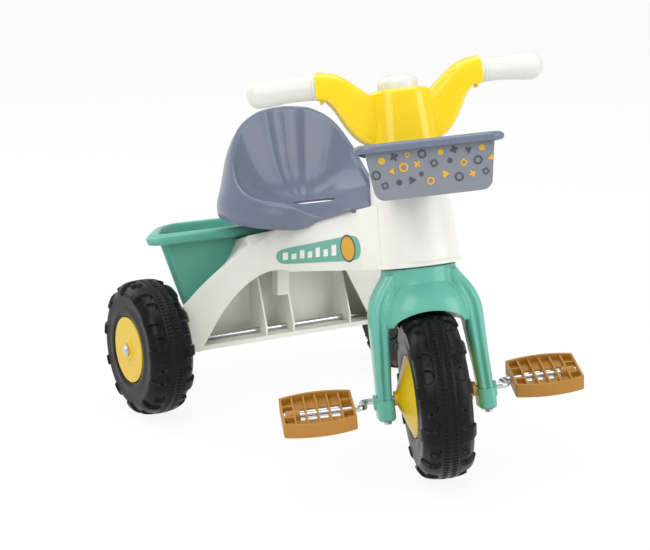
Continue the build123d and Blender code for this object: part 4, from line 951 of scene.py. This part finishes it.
class TRICYCLE_OT_seat(bpy.types.Operator):
    """Mould the seat with its rim, bowl, nose and slot"""

    bl_idname = "tricycle.seat"
    bl_label = "Seat"

    def execute(self, context):
        seat = build_seat()
        outline = [(0, 0), (0, 1), (60, 1), (60, 0)]
        slot = turned_form("slot_tool", 64, outline, np.diag((SLOT_HALF_X, SLOT_HALF_Y, 1.0)))
        slot.matrix_world = Matrix.Translation((REAR_AXLE_X + SLOT_X * MM, 0, (SEAT_FOOT + 2) * MM))
        cut(seat, slot)
        settle(seat, Matrix(), "frame", "slate", ["seat"])
        return {"FINISHED"}


# Fork, in the steering frame
FORK_OFFSET = 22.0
CRANK_BORE = 4.3
VAULT_HALF = 47.0
VAULT_EDGE = 90.0
VAULT_RISE = 27.0
LEG_STATIONS = np.array((
    # height, across, ahead, wide, deep
    (160.0, 34.0, 2.0, 24.0, 66.0),
    (146.0, 44.0, 4.0, 28.0, 66.0),
    (130.0, 54.0, 8.0, 28.0, 66.0),
    (112.0, 60.4, 11.0, 27.5, 64.0),
    (95.0, 61.2, 13.0, 27.0, 60.0),
    (60.0, 63.0, 17.0, 24.0, 50.0),
    (25.0, 65.2, 20.0, 21.0, 42.0),
    (0.0, 66.4, 22.0, 20.0, 40.0),
    (-6.0, 66.6, 22.0, 20.0, 40.0),
))
HOOD_STATIONS = np.array((
    # height, front, half width
    (92.0, 61.0, 58.0),
    (104.0, 62.5, 58.0),
    (114.0, 62.0, 57.0),
    (124.0, 60.0, 53.0),
    (134.0, 56.0, 46.0),
    (142.0, 51.5, 39.0),
    (148.0, 47.0, 31.0),
    (152.0, 42.0, 20.0),
))


def superellipse(around, half_x, half_y, power):
    """Point on a round-cornered section."""
    angle = 2 * np.pi * around
    c, s = np.cos(angle), np.sin(angle)
    return half_x * np.sign(c) * abs(c) ** (2 / power), half_y * np.sign(s) * abs(s) ** (2 / power)


def build_leg(side):
    """Fork leg with two ridges down its front, drawn out of the neck over a shoulder."""
    levels = LEG_STATIONS[::-1]

    def place(around, along):
        share, shrink = capped(along, 0.03)
        height = levels[0, 0] + (levels[-1, 0] - levels[0, 0]) * share
        across, ahead, wide, deep = (eased(height, levels[:, 0], levels[:, n], 6) for n in range(1, 5))
        x, y = superellipse(around, deep / 2, wide / 2, 3.0)
        groove = 5.0 * np.exp(-(((y + 1.0) / 2.8) ** 2)) * smooth_step(146, 126, height)
        x = x - np.where(x > 0, groove, 0)
        return np.stack((ahead + x * shrink, side * (across + y * shrink), height), axis=1)

    return wrapped_grid("fork_leg", 96, 120, place)


def build_hood():
    """Bulging hood between the legs, over the wheel."""

    def place(around, along):
        share, shrink = capped(along, 0.05)
        height = HOOD_STATIONS[0, 0] + (HOOD_STATIONS[-1, 0] - HOOD_STATIONS[0, 0]) * share
        front = eased(height, HOOD_STATIONS[:, 0], HOOD_STATIONS[:, 1], 3)
        half = eased(height, HOOD_STATIONS[:, 0], HOOD_STATIONS[:, 2], 3)
        x, y = superellipse(around, front - 8, half, 2.6)
        return np.stack((8 + x * shrink, y * shrink, height), axis=1)

    return wrapped_grid("fork_hood", 128, 60, place)


class TRICYCLE_OT_fork(bpy.types.Operator):
    """Mould the fork: neck, hood and ridged legs grown into one"""

    bl_idname = "tricycle.fork"
    bl_label = "Fork"

    def execute(self, context):
        outline = [(112, 0), (112, 40), (114, 49), (140, 49), (166, 49), (166, 30), (166, 0)]
        neck = turned_form("fork_neck", 128, outline, np.eye(3))
        fork = join("fork_moulding", [neck, build_hood(), build_leg(1), build_leg(-1)])
        apply_modifier(fork, "REMESH", mode="VOXEL", voxel_size=1.5 * MM)
        apply_modifier(fork, "SMOOTH", factor=0.5, iterations=6)
        vault = [(-VAULT_HALF, 0), (-VAULT_HALF, VAULT_EDGE)]
        for y in np.linspace(0.5 - VAULT_HALF, VAULT_HALF - 0.5, 40):
            vault.append((y, VAULT_EDGE + VAULT_RISE * np.sqrt(1 - (y / VAULT_HALF) ** 2)))
        vault += [(VAULT_HALF, VAULT_EDGE), (VAULT_HALF, 0)]
        bore = [(-120, 0), (-120, CRANK_BORE), (120, CRANK_BORE), (120, 0)]
        for name, columns, outline in (("vault_tool", 160, vault), ("bore_tool", 48, bore)):
            tool = turned_form(name, columns, outline, ALONG_Y)
            tool.matrix_world = Matrix.Translation((FORK_OFFSET * MM, 0, 0))
            cut(fork, tool)
        settle(fork, STEERED, "steering", "teal", ["fork"], 35)
        return {"FINISHED"}


# Frame, pedals and caps
CHEEK_CORNERS = np.array((
    # ahead, height, across
    (316.0, 258.8, 53.0),
    (371.0, 270.8, 56.3),
    (351.0, 352.6, 52.3),
    (316.0, 340.6, 53.0),
))


def build_cheek(side):
    """Web that carries the beam's side on to the column."""

    def place(around, along):
        turn = np.interp(around, np.linspace(0, 1, 5), range(5)) % 4
        n = np.floor(turn).astype(int)
        part = (turn - n)[:, None]
        edge = CHEEK_CORNERS[n] * (1 - part) + CHEEK_CORNERS[(n + 1) % 4] * part
        shrink = np.interp(along, (0, 0.25, 0.75, 1), (0, 1, 1, 0))[:, None]
        middle = CHEEK_CORNERS.mean(axis=0)
        edge = middle + (edge - middle) * shrink
        across = np.where(along < 0.5, 20.0, edge[:, 2])
        return np.stack((REAR_AXLE_X / MM + edge[:, 0], side * across, edge[:, 1]), axis=1)

    return wrapped_grid("beam_cheek", 4, 4, place)


class TRICYCLE_OT_mouldings(bpy.types.Operator):
    """Give soft edges to the frame, the pedals and the caps, and close the beam on the column"""

    bl_idname = "tricycle.mouldings"
    bl_label = "Mouldings"

    def execute(self, context):
        soft = (
            # node, body, slot, finish, width of the soft edge
            ("frame", "frame", "white_plastic", "white", 1.6),
            ("pedal_right", "pedal_right", "ochre_plastic", "ochre", 0.8),
            ("pedal_left", "pedal_left", "ochre_plastic", "ochre", 0.8),
            ("fork_cap_right", "steering", "teal_plastic", "teal", 1.2),
            ("fork_cap_left", "steering", "teal_plastic", "teal", 1.2),
        )
        for node, body, slot, finish, width in soft:
            piece = solid_copy(node, f"{node}_moulding")
            apply_modifier(
                piece, "BEVEL", width=width * MM, segments=3, limit_method="ANGLE", angle_limit=np.radians(38)
            )
            settle(piece, piece.matrix_world.copy(), body, finish, [node])
        for name, side in SIDES:
            cheek = build_cheek(side)
            cheek.name = f"beam_cheek_{name}"
            settle(cheek, Matrix(), "frame", "white", (), 30)
        ring = [
            (167.3, 50), (167.3, 57.0), (168.2, 57.8), (169.6, 57.9),
            (171, 57.2), (173, 56.4), (174, 50), (167.3, 50),
        ]
        lip = turned_form("column_lip", 128, ring, np.eye(3))
        settle(lip, STEERED, "frame", "white")
        return {"FINISHED"}


# Printed panel on the basket, and the banners on the beam
MOTIFS = (
    # way across, height, size, turn, kind, ink
    (-66, 285, 5.5, 10, "ring", "charcoal"), (-58, 301, 4.2, 40, "disc", "ochre"),
    (-57, 272, 4.6, 15, "square", "charcoal"), (-47, 288, 4.0, 0, "triangle", "ochre"),
    (-43, 304, 5.0, 25, "cross", "charcoal"), (-40, 274, 3.4, 0, "disc", "charcoal"),
    (-33, 291, 5.6, 0, "ring", "ochre"), (-27, 305, 3.4, 12, "square", "ochre"),
    (-25, 275, 5.0, 60, "triangle", "charcoal"), (-17, 293, 4.2, 45, "cross", "ochre"),
    (-13, 281, 2.8, 0, "disc", "charcoal"), (-10, 304, 5.2, 0, "ring", "charcoal"),
    (-3, 272, 4.6, 30, "ring", "ochre"), (3, 292, 5.0, 20, "square", "charcoal"),
    (12, 304, 3.4, 0, "disc", "ochre"), (15, 278, 4.8, 180, "triangle", "ochre"),
    (22, 293, 3.2, 0, "disc", "charcoal"), (28, 305, 4.6, 15, "cross", "charcoal"),
    (31, 273, 5.4, 0, "ring", "charcoal"), (38, 289, 4.6, 40, "square", "ochre"),
    (45, 303, 4.6, 90, "triangle", "charcoal"), (47, 275, 4.2, 20, "cross", "ochre"),
    (55, 290, 5.4, 0, "ring", "charcoal"), (61, 304, 3.6, 0, "disc", "ochre"),
    (63, 276, 4.4, 25, "square", "charcoal"), (71, 291, 4.2, 10, "triangle", "ochre"),
)
MOTIF_SIDES = {"ring": 0, "disc": 0, "square": 4, "triangle": 3, "cross": 0}
MOTIF_HOLES = {"ring": 0.58, "disc": 0.0, "square": 0.52, "triangle": 0.0, "cross": 0.0}


def on_panel(across, height, lift):
    """Point in front of the basket at a way across it and a height."""
    middle, half_x, _, _, _ = basket_section(height)
    return np.stack((middle + half_x + lift + 0 * across, across + 0 * height, height + 0 * across), axis=1)


def build_motif(across, height, size, turn, kind):
    """One printed motif, a thin film on the panel."""
    bars = (0, 90) if kind == "cross" else (0,)
    pieces = []
    for bar in bars:
        def place(around, along, bar=bar):
            angle = 2 * np.pi * around
            sides = MOTIF_SIDES[kind]
            reach = 1.0 + 0 * angle
            if sides:
                part = (angle + np.pi / sides) % (2 * np.pi / sides) - np.pi / sides
                reach = np.minimum(np.cos(np.pi / sides) / np.cos(part) * 1.15, 1.05)
            reach = size * reach * (MOTIF_HOLES[kind] + (1 - MOTIF_HOLES[kind]) * along)
            a, b = reach * np.cos(angle), reach * np.sin(angle)
            if kind == "cross":
                b = np.clip(b, -0.3 * size, 0.3 * size)
            tilt = np.radians(turn + bar)
            shift = a * np.cos(tilt) - b * np.sin(tilt)
            rise = a * np.sin(tilt) + b * np.cos(tilt)
            return on_panel(across + shift, height + rise, 0.75 + bar * 0.0005)

        pieces.append(wrapped_grid("motif", 48, 2, place))
    return pieces


class TRICYCLE_OT_panel_print(bpy.types.Operator):
    """Lay the printed panel with its rings, dots and crosses on the basket's front"""

    bl_idname = "tricycle.panel_print"
    bl_label = "Basket panel"

    def execute(self, context):
        top, foot, corner = BASKET_TOP - 8.0, BASKET_FOOT - 0.5, 11.0

        def place(across, along):
            height = foot + (top - foot) * along
            half = basket_section(height)[2] - 0.8
            into = np.clip(foot + corner - height, 0, corner)
            half = half - corner + np.sqrt(np.maximum(corner ** 2 - into ** 2, 0))
            return on_panel((2 * across - 1) * half, height, 0.3)

        sheet = wrapped_grid("basket_panel", 32, 96, place)
        settle_film(sheet, STEERED, "steering", "film_grey", Vector((1, 0, 0)))
        for ink, slot in (("charcoal", "black_plastic"), ("ochre", "ochre_plastic")):
            pieces = [piece for *spot, own in MOTIFS if own == ink for piece in build_motif(*spot)]
            print_film = join(f"basket_print_{ink}", pieces)
            settle_film(print_film, STEERED, "steering", f"film_{ink}", Vector((1, 0, 0)))
        return {"FINISHED"}


def settle_film(film, place, body, finish, outward):
    """Give a printed film its thickness and set it in place, facing outward."""
    facing = sum((face.normal * face.area for face in film.data.polygons), Vector())
    if facing.dot(outward) < 0:
        edit_all(film, (bpy.ops.mesh.flip_normals, {}))
    apply_modifier(film, "SOLIDIFY", thickness=0.2 * MM, offset=1)
    settle(film, place, body, finish)


FILM_START = 110.0


def build_film(name, columns, rows, shape, side, lift):
    """Film pressed on the beam's side: the shape gives the way ahead of the axle and the height."""

    def place(across, along):
        ahead, height = shape(across, along)
        return np.stack((REAR_AXLE_X / MM + ahead, side * FILM_START + 0 * ahead, height), axis=1)

    film = wrapped_grid(name, columns, rows, place)
    apply_modifier(
        film,
        "SHRINKWRAP",
        target=frame["nodes"]["frame"],
        wrap_method="PROJECT",
        use_project_y=True,
        use_positive_direction=side < 0,
        use_negative_direction=side > 0,
        offset=lift * MM,
        project_limit=0.09,
    )
    return film


BANNER_X = 98.0
BANNER_Z = 233.0
BANNER_LENGTH = 214.0
BANNER_RISE = 56.0
BANNER_HALF = 10.5
BANNER_SPREAD = 7.0


def banner_line(share):
    """Middle of the banner at a share of its length: way ahead, height and half its width."""
    middle = BANNER_X + BANNER_LENGTH * share, BANNER_Z + BANNER_RISE * share
    return *middle, BANNER_HALF + BANNER_SPREAD * share


class TRICYCLE_OT_banners(bpy.types.Operator):
    """Lay a plain banner with a dot and dashes on each side of the beam"""

    bl_idname = "tricycle.banners"
    bl_label = "Banners"

    def execute(self, context):
        tilt = np.arctan2(BANNER_RISE, BANNER_LENGTH)

        def strip(across, along):
            ahead, height, half = banner_line(across)
            end = np.sqrt(np.clip(1 - (abs(2 * across - 1)) ** 14, 0.02, 1))
            lift = (2 * along - 1) * half * end
            return ahead - lift * np.sin(tilt), height + lift * np.cos(tilt)

        def disc(centre, radius, hole):
            def shape(around, along):
                ahead, height, _ = banner_line(centre)
                reach = radius * (hole + (1 - hole) * along)
                return ahead + reach * np.cos(2 * np.pi * around), height + reach * np.sin(2 * np.pi * around)
            return shape

        def dash(start, length, low, high):
            def shape(across, along):
                ahead, height, half = banner_line(start + length * across)
                lift = (low + (high - low) * along) * half
                return ahead - lift * np.sin(tilt) + lift * 0.25, height + lift * np.cos(tilt)
            return shape

        for name, side in SIDES:
            outward = Vector((0, side, 0))
            sheets = (
                ("banner", "teal_plastic", "film_teal", [(strip, 120, 16, 0.15)]),
                ("banner_dot", "ochre_plastic", "film_ochre", [(disc(0.86, 16.0, 0.0), 64, 6, 0.4)]),
                ("banner_ring", "slate_plastic", "film_charcoal", [(disc(0.86, 18.5, 0.87), 64, 2, 0.4)]),
                ("banner_dashes", "white_plastic", "film_white", [
                    (dash(0.07 + 0.1 * n, 0.055, -0.5, 0.5 - 0.3 * (n % 2)), 12, 6, 0.4) for n in range(7)
                ]),
            )
            for title, slot, finish, shapes in sheets:
                films = []
                for shape, columns, rows, lift in shapes:
                    films.append(build_film(title, columns, rows, shape, side, lift))
                settle_film(join(f"{title}_{name}", films), Matrix(), "frame", finish, outward)
        return {"FINISHED"}


SKY = 0.6


class TRICYCLE_OT_stage(bpy.types.Operator):
    """Add the floor, the lamps, the world and the camera"""

    bl_idname = "tricycle.stage"
    bl_label = "Stage"

    def execute(self, context):
        scene = context.scene
        stage = scene.tricycle_stage
        clear_selection()
        bpy.ops.mesh.primitive_plane_add(size=40)
        floor = context.object
        floor.name = "studio_floor"
        dress(floor, studio_floor("paper_sweep", stage.floor))

        middle = Vector((0, 0, 0.25))
        lamps = (
            # name, place, size, power
            ("key_softbox", (1.6, -2.6, 2.4), 2.4, 54),
            ("fill_softbox", (2.9, 1.8, 1.5), 2.4, 50),
            ("top_softbox", (-0.2, 0.0, 3.0), 2.6, 46),
            ("back_softbox", (-2.6, -1.0, 1.8), 2.0, 22),
        )
        for name, place, size, power in lamps:
            bpy.ops.object.light_add(type="AREA", location=place)
            lamp = context.object
            lamp.name = name
            lamp.data.shape = "SQUARE"
            lamp.data.size = size
            lamp.data.energy = power
            lamp.rotation_euler = (middle - Vector(place)).to_track_quat("-Z", "Y").to_euler()

        world = bpy.data.worlds.new("white_studio")
        scene.world = world
        world.use_nodes = True
        sky = world.node_tree.nodes["Background"]
        sky.inputs["Color"].default_value = (1, 1, 1, 1)
        tree = world.node_tree
        path = tree.nodes.new("ShaderNodeLightPath")
        bright = tree.nodes.new("ShaderNodeMath")
        bright.operation = "MAXIMUM"
        bright.inputs[1].default_value = SKY
        tree.links.new(path.outputs["Is Camera Ray"], bright.inputs[0])
        tree.links.new(bright.outputs[0], sky.inputs["Strength"])

        look = Vector((
            np.cos(stage.azimuth) * np.cos(stage.dip),
            np.sin(stage.azimuth) * np.cos(stage.dip),
            -np.sin(stage.dip),
        ))
        bpy.ops.object.camera_add(location=stage.camera_place)
        camera = context.object
        camera.rotation_euler = look.to_track_quat("-Z", "Y").to_euler()
        camera.data.sensor_fit = "HORIZONTAL"
        camera.data.sensor_width = 36
        camera.data.lens = stage.lens
        camera.data.clip_end = 60
        scene.camera = camera
        scene.view_settings.view_transform = "Standard"
        return {"FINISHED"}


class TRICYCLE_PT_panel(bpy.types.Panel):
    """Lists the builders of the tricycle's looks"""

    bl_idname = "TRICYCLE_PT_panel"
    bl_label = "Tricycle"
    bl_space_type = "VIEW_3D"
    bl_region_type = "UI"
    bl_category = "Tricycle"

    def draw(self, context):
        for operator in OPERATORS:
            self.layout.operator(operator.bl_idname)


OPERATORS = (
    TRICYCLE_OT_finishes,
    TRICYCLE_OT_tyres,
    TRICYCLE_OT_handlebar,
    TRICYCLE_OT_grips,
    TRICYCLE_OT_horn,
    TRICYCLE_OT_basket,
    TRICYCLE_OT_bucket,
    TRICYCLE_OT_seat,
    TRICYCLE_OT_fork,
    TRICYCLE_OT_mouldings,
    TRICYCLE_OT_panel_print,
    TRICYCLE_OT_banners,
    TRICYCLE_OT_stage,
)
CLASSES = (TricycleColours, TricycleSizes, TricycleStage) + OPERATORS + (TRICYCLE_PT_panel,)


def register():
    """Register the classes and hang the settings on the scene."""
    for member in CLASSES:
        bpy.utils.register_class(member)
    bpy.types.Scene.tricycle_colours = bpy.props.PointerProperty(type=TricycleColours)
    bpy.types.Scene.tricycle_sizes = bpy.props.PointerProperty(type=TricycleSizes)
    bpy.types.Scene.tricycle_stage = bpy.props.PointerProperty(type=TricycleStage)


def unregister():
    """Take the settings and the classes away again."""
    del bpy.types.Scene.tricycle_stage
    del bpy.types.Scene.tricycle_sizes
    del bpy.types.Scene.tricycle_colours
    for member in reversed(CLASSES):
        bpy.utils.unregister_class(member)


def main():
    """Build everything."""
    register()
    bpy.ops.tricycle.finishes()
    bpy.ops.tricycle.tyres()
    bpy.ops.tricycle.handlebar()
    bpy.ops.tricycle.grips()
    bpy.ops.tricycle.horn()
    bpy.ops.tricycle.basket()
    bpy.ops.tricycle.bucket()
    bpy.ops.tricycle.seat()
    bpy.ops.tricycle.fork()
    bpy.ops.tricycle.mouldings()
    bpy.ops.tricycle.panel_print()
    bpy.ops.tricycle.banners()
    bpy.ops.tricycle.stage()


if __name__ == "__main__":
    main()
